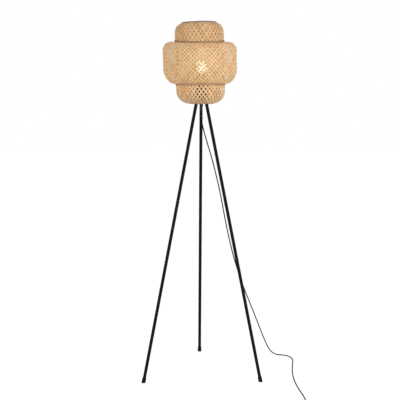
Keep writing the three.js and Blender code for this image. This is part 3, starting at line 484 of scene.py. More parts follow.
def placed(points, origin, x_axis, z_axis):
    """Points of a piece drawn about its own origin, put in place by its X and Z directions."""
    z = unit(np.asarray(z_axis, float))
    x = np.asarray(x_axis, float)
    x = unit(x - z * (x @ z))
    y = np.cross(z, x)
    return np.asarray(origin) + points[..., :1] * x + points[..., 1:2] * y + points[..., 2:] * z


def on_axis(points):
    """Moves what was drawn round Z onto the lamp's axis."""
    return points + AXIS


# Shader maths and finishes


class Value:
    """A socket that takes part in sums: each operation adds a Math node to its tree."""

    def __init__(self, finish, socket):
        self.finish = finish
        self.socket = socket

    def _math(self, operation, first, second):
        return self.finish.node("ShaderNodeMath", {"operation": operation}, {0: first, 1: second})

    def __add__(self, other):
        return self._math("ADD", self, other)

    def __sub__(self, other):
        return self._math("SUBTRACT", self, other)

    def __rsub__(self, other):
        return self._math("SUBTRACT", other, self)

    def __mul__(self, other):
        return self._math("MULTIPLY", self, other)

    def __truediv__(self, other):
        return self._math("DIVIDE", self, other)

    def __pow__(self, other):
        return self._math("POWER", self, other)

    __radd__ = __add__
    __rmul__ = __mul__

    def clamped(self):
        return self.finish.node("ShaderNodeClamp", {}, {"Value": self})

    def fraction(self):
        return self._math("FRACT", self, 0.0)

    def size(self):
        return self._math("ABSOLUTE", self, 0.0)


class Nodes:
    """A node tree, and the ways in which nodes are added to it."""

    def __init__(self, tree):
        self.tree = tree

    def feed(self, socket, value):
        """Links a socket to a value of the tree, or sets it to a constant."""
        if isinstance(value, Value):
            self.tree.links.new(value.socket, socket)
        elif hasattr(value, "__len__") and socket.type == "RGBA" and len(value) == 3:
            socket.default_value = (*value, 1.0)
        else:
            socket.default_value = value

    def node(self, kind, settings, inputs, output=0):
        """Adds a node: its settings are set first, then its sockets get values or links."""
        made = self.tree.nodes.new(kind)
        for name, value in settings.items():
            if name == "stops":
                self._set_stops(made.color_ramp, value)
            else:
                setattr(made, name, value)
        for name, value in inputs.items():
            self.feed(made.inputs[name], value)
        return Value(self, made.outputs[output])

    def _set_stops(self, ramp, stops):
        while len(ramp.elements) > len(stops):
            ramp.elements.remove(ramp.elements[-1])
        while len(ramp.elements) < len(stops):
            ramp.elements.new(1.0)
        for element, (position, value) in zip(ramp.elements, stops):
            element.position = position
            element.color = (*value, 1.0) if hasattr(value, "__len__") else (value, value, value, 1.0)

    def place(self):
        return self.node("ShaderNodeTexCoord", {}, {}, "Object")

    def noise(self, where, scale, detail=3.0, roughness=0.5):
        inputs = {"Vector": where, "Scale": scale, "Detail": detail, "Roughness": roughness}
        return self.node("ShaderNodeTexNoise", {}, inputs)

    def ramp(self, value, stops):
        return self.node("ShaderNodeValToRGB", {"stops": stops}, {"Fac": value})

    def mix(self, factor, first, second):
        """The colour part of a mix node, whose sockets go by number."""
        return self.node("ShaderNodeMix", {"data_type": "RGBA"}, {0: factor, 6: first, 7: second}, 2)

    def vector(self, x, y, z):
        return self.node("ShaderNodeCombineXYZ", {}, {"X": x, "Y": y, "Z": z})

    def bump(self, height, distance, strength=1.0):
        inputs = {"Height": height, "Distance": distance, "Strength": strength}
        return self.node("ShaderNodeBump", {}, inputs)

    def attribute(self, name):
        return self.node("ShaderNodeAttribute", {"attribute_name": name}, {}, "Fac")

    def along(self):
        """Distance along a strip, and the place across it from -1 to 1."""
        uv = self.node("ShaderNodeUVMap", {"uv_map": "along"}, {})
        return self.part(uv, "X"), self.part(uv, "Y")

    def part(self, vector, axis):
        return self.node("ShaderNodeSeparateXYZ", {}, {0: vector}, axis)

    def arrow(self, operation, first, second=(0.0, 0.0, 0.0), output=0):
        """Adds a Vector Math node."""
        return self.node("ShaderNodeVectorMath", {"operation": operation}, {0: first, 1: second}, output)

    def seen(self):
        """1 for what the camera sees straight, in a reflection or through glass, and 0 for other rays."""
        names = ("Is Camera Ray", "Is Glossy Ray", "Is Transmission Ray")
        camera, glossy, through = (self.node("ShaderNodeLightPath", {}, {}, name) for name in names)
        return (camera + glossy + through).clamped()


class Finish(Nodes):
    """A material and the nodes that make it."""

    def __init__(self, name, **constants):
        self.material = bpy.data.materials.new(name)
        self.material.use_nodes = True
        super().__init__(self.material.node_tree)
        self.shader = self.tree.nodes["Principled BSDF"]
        self.set(**constants)

    def set(self, **values):
        """Sets or links the shader's sockets, named in small letters with underscores for spaces."""
        for name, value in values.items():
            words = " ".join(w.capitalize() for w in name.split("_")).replace("Ior", "IOR")
            self.feed(self.shader.inputs[words], value)
        return self


def bamboo():
    """Split bamboo: a tone of its own for each strip, fibres along it, and a node ring now and then. Its
    edges are darker, and painted shade darkens what lies low in the weave, in its creases and inside."""
    hue = sizes("lamp_colours")
    finish = Finish("split_bamboo", roughness=0.5, specular_ior_level=0.35, coat_roughness=0.35)
    run, across = finish.along()
    tone = finish.attribute("tone")
    fibre = finish.noise(finish.vector(run * 26, across * 11, tone * 70), 1.0, 4.0, 0.65)
    vein = finish.noise(finish.vector(run * 5, across * 2.2, tone * 40), 1.0, 2.0)
    blotch = finish.noise(finish.place(), 21.0, 3.0)
    ring = (run * 4.3 + tone * 9).fraction() - 0.5
    ring = (1 - ring.size() * 150).clamped()
    edge = (across.size() * 5 - 4).clamped()
    level = (tone * 0.62 + fibre * 0.5 + vein * 0.34 + blotch * 0.4 - 0.44).clamped()
    base = finish.ramp(level, [(0.12, hue.bamboo_dark), (0.48, hue.bamboo_warm), (0.85, hue.bamboo_pale)])
    base = finish.mix(ring * 0.45, base, hue.bamboo_ring)
    base = finish.mix(edge * 0.6, base, hue.bamboo_dark)
    # Painted shade: a strip is darkened where it passes under another, in the tiers' creases and on its inner
    # face
    hollow = (0.25 - finish.attribute("rise") * 0.25).clamped()
    base = finish.mix(hollow, base, hue.painted_weave_shade)
    return finish.set(
        base_color=base,
        roughness=0.46 + fibre * 0.2,
        normal=finish.bump(fibre * 0.5 + ring * 1.5, 0.00025, 0.5),
        coat_weight=0.12,
        emission_color=finish.mix(glow_near_bulb(finish), (0, 0, 0), hue.soaked_light),
        emission_strength=1.0,
    ).material


def glow_near_bulb(finish):
    """Light that soaks through an upright wall: its distance from the bulb's axis, over the cube of its
    distance from the bulb, which a small number keeps from growing without end."""
    offset = finish.arrow("SUBTRACT", finish.place(), tuple(BULB_CENTRE))
    aside = finish.arrow("LENGTH", finish.arrow("MULTIPLY", offset, (1.0, 1.0, 0.0)), output="Value")
    reach = finish.arrow("LENGTH", offset, output="Value")
    return (0.0038 * aside / (reach**3 + 0.0012)).clamped()


def cane(name, base):
    """Bound cane with fine lengthwise fibres, darker and paler in blotches."""
    finish = Finish(name, roughness=0.5)
    run, across = finish.along()
    tone = finish.attribute("tone")
    fibre = finish.noise(finish.vector(run * 60, across * 9, tone * 30), 1.0, 4.0, 0.6)
    blotch = finish.noise(finish.place(), 35.0, 3.0)
    level = fibre * 0.6 + blotch * 0.5 + tone * 0.25 - 0.15
    dark, pale = tuple(c * 0.6 for c in base), tuple(min(1.0, c * 1.45) for c in base)
    base = finish.ramp(level.clamped(), [(0.2, dark), (0.55, base), (0.9, pale)])
    return finish.set(
        base_color=base, roughness=0.42 + fibre * 0.25, normal=finish.bump(fibre, 0.0003, 0.6)
    ).material


def painted(name, base, roughness, grain, depth, shine):
    """Paint or plastic with a fine grain: noise varies its roughness a little and bumps it."""
    finish = Finish(name, specular_ior_level=shine)
    fine = finish.noise(finish.place(), grain, 2.0)
    broad = finish.noise(finish.place(), 14.0, 3.0)
    dark, pale = tuple(c * 0.8 for c in base), tuple(min(1.0, c * 1.25) for c in base)
    shade = finish.ramp(broad, [(0.25, dark), (0.75, pale)])
    return finish.set(
        base_color=shade,
        roughness=roughness + (fine - 0.5) * 0.16 + (broad - 0.5) * 0.1,
        normal=finish.bump(fine, depth, 0.7),
    ).material


def metal(name, base, roughness):
    """Bare metal: fine streaks round it, and a cloudier tarnish that also dulls it."""
    finish = Finish(name, metallic=1.0)
    height = finish.part(finish.place(), "Z")
    streaks = finish.noise(finish.vector(0.0, 0.0, height * 2600), 1.0, 3.0)
    cloud = finish.noise(finish.place(), 90.0, 4.0)
    dull = tuple(c * 0.72 for c in base)
    return finish.set(
        base_color=finish.ramp(cloud, [(0.3, dull), (0.6, base)]),
        roughness=roughness + (cloud - 0.5) * 0.2 + (streaks - 0.5) * 0.1,
        normal=finish.bump(streaks, 0.00003, 0.5),
    ).material


def ceramic(name, base):
    """Unglazed white insulator, a little mottled."""
    finish = Finish(name)
    speck = finish.noise(finish.place(), 420.0, 3.0)
    dull = tuple(c * 0.85 for c in base)
    return finish.set(
        base_color=finish.ramp(speck, [(0.3, dull), (0.6, base)]),
        roughness=0.35 + speck * 0.2,
        normal=finish.bump(speck, 0.00008),
    ).material


def lit_glass(name, warm, strength, clear, core):
    """Glass that shines: brightest round the bulb's middle and redder at its neck. Its alpha is its clear
    value, and with a core up to that much more where the glass faces the eye."""
    finish = Finish(name, roughness=0.08, transmission_weight=0.0, ior=1.45)
    reach = finish.arrow("DISTANCE", finish.place(), tuple(BULB_CENTRE), "Value")
    height = finish.part(finish.place(), "Z") - float(BULB_CENTRE[2])
    near = (1.25 - reach * 26 + height * 12).clamped()
    facing = finish.node("ShaderNodeLayerWeight", {}, {"Blend": 0.5}, "Facing")
    dim, bright = tuple(c * 0.25 for c in warm), (1.0, 0.90, 0.66)
    alpha = clear + (1.0 - facing * 4.0 + height * 22.0).clamped() * core if core else clear
    return finish.set(
        base_color=finish.ramp(near, [(0.0, (0.85, 0.80, 0.70)), (1.0, (1.0, 0.95, 0.86))]),
        emission_color=finish.ramp(near, [(0.0, dim), (0.5, warm), (1.0, bright)]),
        emission_strength=strength,
        alpha=alpha,
    ).material


# Each finish's slot, how it is made, its material's name, its colour in the group of colours, and the rest of
# its maker's values
FINISHES = {
    "bamboo": ("bamboo_weave", bamboo),
    "cane": ("rim_cane", cane, "rim_cane", "cane"),
    "seam": ("rim_cane", cane, "seam_cane", "seam"),
    "legs": ("black_steel", painted, "black_powder_coat", "black_paint", 0.58, 1500, 5e-5, 0.08),
    "wire": ("black_wire", painted, "black_lacquered_wire", "wire", 0.42, 700, 5e-5, 0.3),
    "rubber": ("black_rubber", painted, "black_rubber", "rubber", 0.72, 900, 8e-5, 0.1),
    "plastic": ("black_plastic", painted, "black_plastic", "plastic", 0.46, 1800, 6e-5, 0.35),
    "cord": ("cord_skin", painted, "black_cord", "cord", 0.6, 800, 4e-5, 0.06),
    "steel": ("plain_steel", metal, "plain_steel", "plain_steel", 0.3),
    "brass": ("brass", metal, "brass", "brass", 0.26),
    "cap": ("cap_metal", metal, "cap_metal", "cap_metal", 0.24),
    "ceramic": ("holder_ceramic", ceramic, "white_ceramic", "ceramic"),
    "glass": ("bulb_glass", lit_glass, "bulb_glass", "glow", 0.4, 0.1, 0.5),
    "filament": ("filament", lit_glass, "bulb_filament", "glow", 30.0, 1.0, 0.0),
}
MADE = {}


def material(finish):
    """A finish's material, made when it is first asked for."""
    if finish not in MADE:
        _, make, *values = FINISHES[finish]
        if values:
            values[1] = tuple(getattr(sizes("lamp_colours"), values[1]))
        MADE[finish] = make(*values)
    return MADE[finish]


def finish_piece(shape, name, finish, *nodes, body="stand", sharp=35.0):
    """Makes a shape's object, rides it on a body, and lets it stand for the frame's nodes."""
    made = shape.object(name, material(finish), sharp)
    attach(made, body)
    if nodes:
        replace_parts(made, *nodes)
    return made


def grid_piece(grid, name, finish, *nodes, body="stand", **ends_meet):
    """A piece of one grid. The words of Shape.add say how its rows end."""
    return finish_piece(Shape().add(grid, **ends_meet), name, finish, *nodes, body=body)


def lathe(
    name, profile, finish, *nodes, body="stand", ease=0.0004, sides=64, place=on_axis, poles=False
):
    """A turned piece with eased corners. Its profile runs up the outside and, unless it has poles, closes."""
    grid = place(turned(eased(profile, ease, closed=not poles), sides))
    return grid_piece(grid, name, finish, *nodes, body=body, loop=not poles, poles=poles)


# The woven shade


def arc(centre, width, height, start, end, steps=24):
    """Part of an ellipse: centre + (width cos a, height sin a)."""
    a = np.radians(np.linspace(start, end, steps))
    return np.stack([centre[0] + width * np.cos(a), centre[1] + height * np.sin(a)], axis=1)


def crown_line():
    s = sizes("shade_sizes")
    width = s.tier_radius - s.top_opening
    centre = high("shade_crown")[2] - s.rim_rise - s.crown_shoulder
    top = arc((s.top_opening, centre), width, s.crown_shoulder, 0, 90)
    return np.concatenate([[[s.tier_radius, low("shade_crown")[2]]], top])


def bowl_line():
    s = sizes("shade_sizes")
    width = s.tier_radius - s.bottom_opening
    foot = arc((s.bottom_opening, low("shade_bowl")[2] + s.bowl_shoulder), width, s.bowl_shoulder, -90, 0)
    return np.concatenate([foot, [[s.tier_radius, high("shade_bowl")[2]]]])


def band_line():
    s = sizes("shade_sizes")
    outer = s.tier_radius + s.band_depth
    base, top = ends("shade_band")
    lower_w, upper_w = s.band_depth * s.band_bottom_width, s.band_depth * s.band_top_width
    return np.concatenate([
        [[s.tier_radius, base]],
        arc((outer - lower_w, base + s.band_bottom_height), lower_w, s.band_bottom_height, -90, 0),
        arc((outer - upper_w, top - s.band_top_height), upper_w, s.band_top_height, 0, 90),
        [[s.tier_radius, top]],
    ])


def even_steps(line, step):
    """The same line with points at even distances, and its outward normals."""
    run = distance_along(line)
    at = np.linspace(0, run[-1], int(run[-1] / step) + 1)
    fine = np.stack([np.interp(at, run, line[:, k]) for k in (0, 1)], axis=1)
    tangent = unit(np.gradient(fine, axis=0))
    normal = np.stack([tangent[:, 1], -tangent[:, 0]], axis=1)
    return fine, normal, at


# How square the wave is that carries a strip over and under, how much of a strip its flat face takes, how far
# below the outer face the inner one counts for painted shade, and how far along the wall the painted shade in
# the creases at foot and top fades
FLATTER = 2.4
STRIP_BEVEL = 0.82
INNER_FACE = 1.3
FOOT_CREASE = 0.014
TOP_CREASE = 0.012

# How much darker each tier's strips are, as painted shade, how much shade is painted in its creases, the turn
# and lift of its net, and its seed
TIERS = {
    "crown": {"darker": 0.28, "creases": (0.4, 1.2), "turned_by": 0.583, "lifted_by": 0.167, "seed": 11},
    "band": {"darker": 0.0, "creases": (1.9, 1.3), "turned_by": 0.583, "lifted_by": 0.334, "seed": 23},
    "bowl": {"darker": 0.0, "creases": (1.0, 0.3), "turned_by": 0.083, "lifted_by": 0.125, "seed": 37},
}


def woven(line, strips, slant, strip_width, hand, darker, creases, turned_by, lifted_by, seed):
    """One set of strips that wind the same way round a turned surface.

    A net of strips that can't stretch keeps the length of its cells' sides, so the cosine of a strip's angle
    to the level grows with the radius, and the strip turns by its cotangent over the radius. The strips
    of both hands cross at even turns, so a cosine of the turn carries each over one and under the next.
    Behind, the strips are wider and three waves carry the whole net off its even course. Each strip has a
    tone of its own, less the tier's darker share, which is painted shade. Its rise is how high it lies in the
    weave, less inside and in the tier's two creases; the lower it is, the more shade is painted on it.
    """
    weave, shade = sizes("weave_sizes"), sizes("shade_sizes")
    fine, normal, at = even_steps(line, weave.step)
    fine = fine - normal * shade.wall / 2
    radius = fine[:, 0]
    cosine = slant * radius / radius.max()
    sine = np.sqrt(1 - cosine**2)
    slope = cosine / sine / radius
    turn = np.concatenate([[0], np.cumsum((slope[1:] + slope[:-1]) / 2 * np.diff(at))])
    beat = np.cos(strips * turn + TAU * lifted_by)
    swing = hand * weave.swing * np.tanh(FLATTER * beat) / math.tanh(FLATTER)

    chance = np.random.default_rng(seed + hand)
    phase = chance.uniform(0, TAU, (3, strips, 1))
    stray = np.sin(at * 31 + phase[0]) + 0.6 * np.sin(at * 67 + phase[1])
    place = chance.normal(0, 0.35, (strips, 1)) * weave.wander
    start = np.arange(strips)[:, None] + turned_by + hand * lifted_by
    angle = TAU * start / strips + hand * turn
    behind = (1 + np.sin(angle)) / 2
    angle = angle + (weave.wander * stray + place) / radius
    angle = angle + behind * weave.drift / radius * (
        np.sin(3 * angle + 22 * at) + 0.7 * np.sin(7 * angle - 35 * at + 1.3) + 0.5 * np.sin(11 * angle + 4)
    )
    out = swing + 0.00012 * np.sin(at * 45 + phase[2])
    pitch = TAU * radius / strips * sine
    width = strip_width * (1 + 0.06 * chance.standard_normal((strips, 1)).clip(-2, 2))
    width = np.minimum(width * (1 + weave.taper * np.sin(angle)), 0.97 * pitch)
    # The tier's darker share is painted shade
    tone = chance.beta(2.2, 2.2, strips) - darker

    around, ahead = np.cos(angle), np.sin(angle)
    outward = np.stack(
        [normal[:, 0] * around, normal[:, 0] * ahead, np.broadcast_to(normal[:, 1], angle.shape)], axis=-1
    )
    centre = np.stack([radius * around, radius * ahead, np.broadcast_to(fine[:, 1], angle.shape)], axis=-1)
    centre = centre + outward * out[..., None]
    along = unit(np.gradient(centre, axis=-2))
    points, uv = ribbon(
        centre, along, outward, width, weave.strip_thickness, STRIP_BEVEL, distance_along(centre)
    )
    tones = np.broadcast_to(tone[:, None, None], points.shape[:3])
    # The rises set the painted shade: the inner face and the creases at foot and top lie lower, so more shade
    # is painted there
    inside = np.where(SECTION_OUT < -0.9, INNER_FACE, 0.0)
    foot_crease = creases[0] * np.exp(-at / FOOT_CREASE)
    top_crease = creases[1] * np.exp((at - at[-1]) / TOP_CREASE)
    rises = (hand * beat - foot_crease - top_crease)[None, :, None] - inside
    return points, uv, tones, np.broadcast_to(rises, points.shape[:3])


def smooth(value, start, end):
    """0 before the start, 1 after the end, and 3 t t - 2 t t t between."""
    t = np.clip((value - start) / (end - start), 0, 1)
    return t * t * (3 - 2 * t)


def leaned(points):
    """The shade's hand-made shape: it creeps aside evenly with height, but not where its ring is held, its
    seams are drawn together, more at the front than behind, and the crown's left shoulder has sunk."""
    s = sizes("shade_sizes")
    offset = points - AXIS
    radius = np.linalg.norm(offset[..., :2], axis=-1)
    x, y, z = offset[..., 0], offset[..., 1], offset[..., 2]
    base, top = ends("shade_band")
    half = (top - base) / 2
    rise = z - (base + top) / 2
    x = x - (s.creep + s.lean * rise) * smooth(radius, 0.028, 0.044)
    front = 0.2 + 0.8 * smooth(-y / np.maximum(radius, 0.001), -0.1, 0.95)
    beyond = np.sign(rise) * (1 - smooth(np.abs(rise), half, 0.165))
    reach = np.where(np.abs(rise) < half, rise / half, beyond)
    squeeze = np.where(rise > 0, s.upper_squeeze, s.lower_squeeze)
    z = z - squeeze * front * reach * smooth(radius, 0.04, 0.09)
    z = z - s.droop * smooth(rise, 0.11, 0.16) * smooth(-x, -0.02, 0.09)
    return np.stack([x, y, z], axis=-1) + AXIS


def in_shade(points):
    return leaned(on_axis(points))


class LAMP_OT_weave(bpy.types.Operator):
    """Weave the crown, the band and the bowl of the shade"""

    bl_idname = "lamp.weave"
    bl_label = "Weave the shade"

    def execute(self, context):
        s = context.scene.weave_sizes
        for tier, *net in (
            ("crown", crown_line(), s.tier_strips, s.tier_slant, s.crown_strip),
            ("band", band_line(), s.band_strips, s.band_slant, s.band_strip),
            ("bowl", bowl_line(), s.tier_strips, s.tier_slant, s.bowl_strip),
        ):
            for hand, side in ((1, "right"), (-1, "left")):
                points, *looks = woven(*net, hand, **TIERS[tier])
                shape = Shape().add_many(in_shade(points), *looks)
                finish_piece(shape, f"{tier}_strips_{side}", "bamboo", f"shade_{tier}")
        return {"FINISHED"}


CANE_BEVEL = 0.7


def wrapping(radius, height, girth_out, girth_up, turns, width, thickness, seed):
    """A strip wound round a hoop: it follows the hoop at angle a and goes round it at angle turns times a,
    on an ellipse that holds the hoop and the edge it binds."""
    per_turn = 18
    a = circle(turns * per_turn)
    spin = turns * a + 0.25 * np.sin(a * 7 + seed)
    radial = np.stack([np.cos(a), np.sin(a), np.zeros_like(a)], axis=1)
    centre = radial * radius + UP * height
    normal = unit(radial * (np.cos(spin) * girth_up)[:, None] + UP * (np.sin(spin) * girth_out)[:, None])
    path = centre + radial * (girth_out * np.cos(spin))[:, None] + UP * (girth_up * np.sin(spin))[:, None]
    run = np.arange(len(a)) * TAU / per_turn * (girth_out + girth_up) / 2
    return ribbon(path, round_loop(path), normal, width, thickness, CANE_BEVEL, run)


def oval(radius, height, width, thick, steps=16):
    """An upright oval section, running up its outside."""
    a = circle(steps) - TAU / 4
    return np.stack([radius + thick * np.cos(a), height + width * np.sin(a)], axis=1)


def hoop(node):
    """A round hoop's radius at its middle, its height and half its thickness."""
    half = (high(node)[2] - low(node)[2]) / 2
    return (high(node)[0] - low(node)[0]) / 2 - half, middle(node)[2], half


class LAMP_OT_rims(bpy.types.Operator):
    """Bind the rims with cane and lay the hoops on the band's two seams"""

    bl_idname = "lamp.rims"
    bl_label = "Bind the rims"

    def execute(self, context):
        s = context.scene.rim_sizes
        for node, turns, seed in (("top_rim_cane", 96, 1), ("bottom_rim_cane", 70, 2)):
            radius, height, cane_r = hoop(node)
            core = turned(oval(radius, height, cane_r, cane_r), 144)
            shape = Shape().add(in_shade(core), loop=True, tone=0.3)
            points, uv = wrapping(
                radius + s.rim_edge, height, cane_r + s.rim_reach, cane_r + s.rim_lift, turns,
                s.rim_width, s.rim_thickness, seed,
            )
            shape.add(in_shade(points), loop=True, uv=uv, tone=0.75)
            finish_piece(shape, node.replace("cane", "binding"), "cane", node)
        # Painted light and shade: the upper seam's cane is toned darker for the shade in its crease, the
        # lower one's paler for more light
        for node, tone, seed in (("band_top_hoop", 0.7, 3), ("band_bottom_hoop", 1.9, 4)):
            _, height, half = hoop(node)
            thick = s.seam_thickness
            radius = context.scene.shade_sizes.tier_radius + thick
            core = turned(oval(radius, height, half, thick), 180)
            shape = Shape().add(in_shade(core), loop=True, tone=tone - 0.4)
            points, uv = wrapping(
                radius, height, 2 * thick, half + s.seam_lift, s.seam_turns, s.seam_width, thick, seed
            )
            shape.add(in_shade(points), loop=True, uv=uv, tone=tone)
            finish_piece(shape, node.replace("hoop", "seam"), "seam", node)
        return {"FINISHED"}


class LAMP_OT_wire_frame(bpy.types.Operator):
    """Bend the wire frame that the shade is tied to, and the ring that carries it"""

    bl_idname = "lamp.wire_frame"
    bl_label = "Bend the wire frame"

    def execute(self, context):
        for node in ("frame_hoop_upper", "frame_hoop_lower"):
            radius, height, wire = hoop(node)
            ring = in_shade(turned(oval(radius, height, wire, wire, 12), 144))
            grid_piece(ring, node.replace("frame", "wire"), "wire", node, loop=True)
        for node in sorted(n for n in frame["nodes"] if n.startswith("frame_upright")):
            self.upright(node)
        self.carrier()
        return {"FINISHED"}

    def upright(self, node):
        """A wire that bows in a little between the hoops and narrows at its welded ends."""
        base, top = ends(node)
        bow = unit(floor_point(node) - AXIS) * 0.0006
        t = np.linspace(0, 1, 24)
        path = floor_point(node) + UP * np.linspace(base, top, 24)[:, None]
        path = path - bow * np.sin(t * math.pi)[:, None]
        wire = (high(node)[0] - low(node)[0]) / 2
        narrow = 0.55 + 2.7 * np.sin(np.linspace(0.06, math.pi - 0.06, 24))
        grid = leaned(swept(path, wire * np.minimum(1, narrow), 12))
        grid_piece(grid, node.replace("frame", "wire"), "wire", node, caps=True)

    def carrier(self):
        """A flat ring with two arms, each with a flattened end welded on the hoop."""
        node = "shade_carrier"
        height = middle(node)[2]
        inner, outer, thick, wire = 0.0202, 0.0255, 0.001, 0.0015
        base, top = height - thick, height + thick
        section = eased([(outer, base), (outer, top), (inner, top), (inner, base)], 0.0004, closed=True)
        shape = Shape().add(in_shade(turned(section, 72)), loop=True)
        reach = (high("frame_hoop_lower")[0] - low("frame_hoop_lower")[0]) / 2 - wire
        for direction in (RIGHT, -RIGHT):
            path = direction * np.linspace((inner + outer) / 2, reach, 20)[:, None] + UP * height
            shape.add(in_shade(swept(path, wire, 12, start=UP)), caps=True)
            for end, size in ((outer, 0.0022), (reach - 0.001, 0.0021)):
                bead = turned(eased([(0, -size), (size, -size), (size, size), (0, size)], size * 0.9), 14)
                shape.add(in_shade(bead * (1, 1, 0.8) + direction * end + UP * height), poles=True)
        finish_piece(shape, "wire_carrier", "wire", node)


# The stand


def legs():
    """Each leg's name, foot on the floor, place on the hub's face, and direction up the leg."""
    s = sizes("stand_sizes")
    for name in ("back", "left", "right"):
        foot = middle(f"foot_{name}") - AXIS
        azimuth = math.atan2(foot[1], foot[0])
        out = np.array([math.cos(azimuth), math.sin(azimuth), 0.0])
        sole = out * s.foot_circle + AXIS
        top = out * s.leg_top + AXIS + UP * s.hub_face
        yield name, out, sole, top, unit(top - sole)


def splay():
    """How far a leg stands out for each metre that it comes down."""
    s = sizes("stand_sizes")
    return (s.foot_circle - s.leg_top) / s.hub_face


class LAMP_OT_legs(bpy.types.Operator):
    """Draw the three legs, the studs that hold them and their rubber feet"""

    bl_idname = "lamp.legs"
    bl_label = "Make the legs"

    def execute(self, context):
        s = context.scene.stand_sizes
        r, wall = s.leg_radius, 0.001
        for name, out, sole, top, up in legs():
            reach = float(np.linalg.norm(top - sole))

            def stand_on(points, sole=sole, out=out, up=up):
                return placed(points, sole, out, up)

            low_end, high_end = 0.0063, reach - 0.0003
            rows = np.linspace(low_end + 0.002, high_end - 0.002, 24)
            outside = [(r - 0.0004, low_end), (r, low_end + 0.0004)] + [(r, z) for z in rows]
            outside += [(r, high_end - 0.0006), (r - 0.0006, high_end)]
            inside = [(r - wall, high_end), (r - wall, low_end)]
            grid = stand_on(turned(outside + inside, 48))
            grid_piece(grid, f"leg_tube_{name}", "legs", f"leg_{name}", loop=True)

            plug_r, screw_r, face = r - wall - 0.0003, 0.004, reach - 0.0006
            stud = [(0, reach - 0.016), (plug_r, reach - 0.016), (plug_r, face), (screw_r, face),
                    (screw_r, reach + 0.013), (0, reach + 0.013)]
            lathe(f"stud_{name}", stud, "steel", f"leg_stud_{name}", place=stand_on, poles=True, sides=32)
            self.foot(name, stand_on, s, r)
        return {"FINISHED"}

    def foot(self, name, stand_on, s, r):
        """A rubber cap with a soft lip and three grip rings. Its sole is sheared level with the floor."""
        h, sole_r, lip_r, bore = s.foot_height, s.foot_radius, s.foot_radius - 0.0006, r + 0.0002
        outline = [(0, 0), (sole_r - 0.0008, 0), (sole_r, 0.0012), (sole_r - 0.0001, 0.004)]
        for z in (0.0075, 0.0105, 0.0135):
            outline += [(sole_r - 0.0002, z - 0.0007), (sole_r - 0.0007, z), (sole_r - 0.0003, z + 0.0007)]
        outline += [(lip_r, h - 0.0025), (lip_r + 0.0003, h - 0.0012), (lip_r - 0.0003, h),
                    (bore, h - 0.0002), (bore, 0.006), (0, 0.006)]
        grid = turned(eased(outline, 0.0003), 48)
        sheared_height = 0.0035
        fade = np.maximum(0, 1 - grid[..., 2] / sheared_height)
        grid[..., 2] -= fade * grid[..., 0] * splay()
        grid_piece(stand_on(grid), f"rubber_foot_{name}", "rubber", f"foot_{name}", poles=True)


# Radius of the hole that hub, sleeve, nut and lampholder have for the threaded tube
TUBE_HOLE = 0.0053


class LAMP_OT_hub(bpy.types.Operator):
    """Turn the hub, the sleeve above it, the threaded tube and its nut"""

    bl_idname = "lamp.hub"
    bl_label = "Turn the hub"

    def execute(self, context):
        s = context.scene.stand_sizes
        base, top = ends("hub_body")
        neck = top - 0.004
        outer, neck_r = 0.031, 0.0232
        edge = s.hub_face + (outer - s.leg_top) * splay()
        hub = [(TUBE_HOLE, base), (0.009, base), (outer - 0.0015, edge - 0.0005), (outer, edge + 0.0012),
               (outer, neck - 0.0078), (outer - 0.0006, neck - 0.007), (outer - 0.0006, neck - 0.006),
               (outer, neck - 0.0052), (outer, neck - 0.0015), (outer - 0.0015, neck), (neck_r, neck),
               (neck_r, top), (TUBE_HOLE, top)]
        lathe("hub", hub, "legs", "hub_body", ease=0.0006, sides=96)
        base, top = ends("hub_sleeve")
        inner, outer, lid = 0.0235, 0.025, top - 0.002
        sleeve = [(inner, base), (outer, base), (outer, top - 0.0022), (0.0228, top), (TUBE_HOLE, top),
                  (TUBE_HOLE, lid), (inner, lid)]
        lathe("hub_tube", sleeve, "legs", "hub_sleeve", ease=0.0009, sides=96)
        self.nut()
        self.threaded_tube()
        return {"FINISHED"}

    def nut(self):
        """A hexagon nut: the radius follows the six flats, cut back to a cone at both faces."""
        base, top = ends("hub_nut")
        sides, half_across = 72, 0.00736
        corner = TAU / 12
        flats = half_across / np.cos((circle(sides) + corner) % (2 * corner) - corner)
        cone = [(TUBE_HOLE, base), (0.0074, base), (0.0079, base + 0.0003), (0.009, base + 0.0009),
                (0.009, top - 0.0009), (0.0079, top - 0.0003), (0.0074, top), (TUBE_HOLE, top)]
        grid = turned(cone, sides)
        grid[..., :2] *= np.minimum(1, flats / np.array(cone)[:, :1])[..., None]
        grid_piece(on_axis(grid), "nut", "steel", "hub_nut", loop=True)

    def threaded_tube(self):
        """A hollow tube with a thread of 1 mm pitch drawn as rings."""
        base, top = ends("hub_nipple")
        pitch, root, crest, end_r, bore = 0.001, 0.00468, 0.005, 0.0046, 0.0033
        z = np.linspace(base + pitch / 2, top - pitch / 2, int((top - base) / pitch) * 2 + 1)
        r = np.where(np.arange(len(z)) % 2 == 0, root, crest)
        profile = [(bore, base), (end_r, base), *zip(r, z), (end_r, top), (bore, top)]
        grid_piece(on_axis(turned(profile, 32)), "threaded_tube", "steel", "hub_nipple", loop=True)


# Lampholder and bulb


def threaded(radius, depth, base, top, pitch):
    """Radius and height pairs of a rolled round thread: the radius dips by its depth once in each pitch."""
    steps = max(2, int((top - base) / pitch)) * 8
    z = np.linspace(base, top, steps + 1)
    fade = np.minimum(1, np.minimum(z - base, top - z) / pitch)
    r = radius - depth * fade * (0.5 - 0.5 * np.cos(TAU * (z - base) / pitch))
    return list(zip(r, z))


def threaded_sleeve(node, radius, depth, plain_top):
    """The profile of a thin sheet sleeve with a rolled thread, which ends below a plain top."""
    pitch, plain_foot, sheet = 0.0036, 0.002, 0.0005
    base, top = ends(node)
    outside = threaded(radius, depth, base + plain_foot, top - plain_top, pitch)
    inside = [(r - sheet, z) for r, z in reversed(outside)]
    return [(radius - sheet, base), (radius, base), *outside, (radius, top), (radius - sheet, top), *inside]


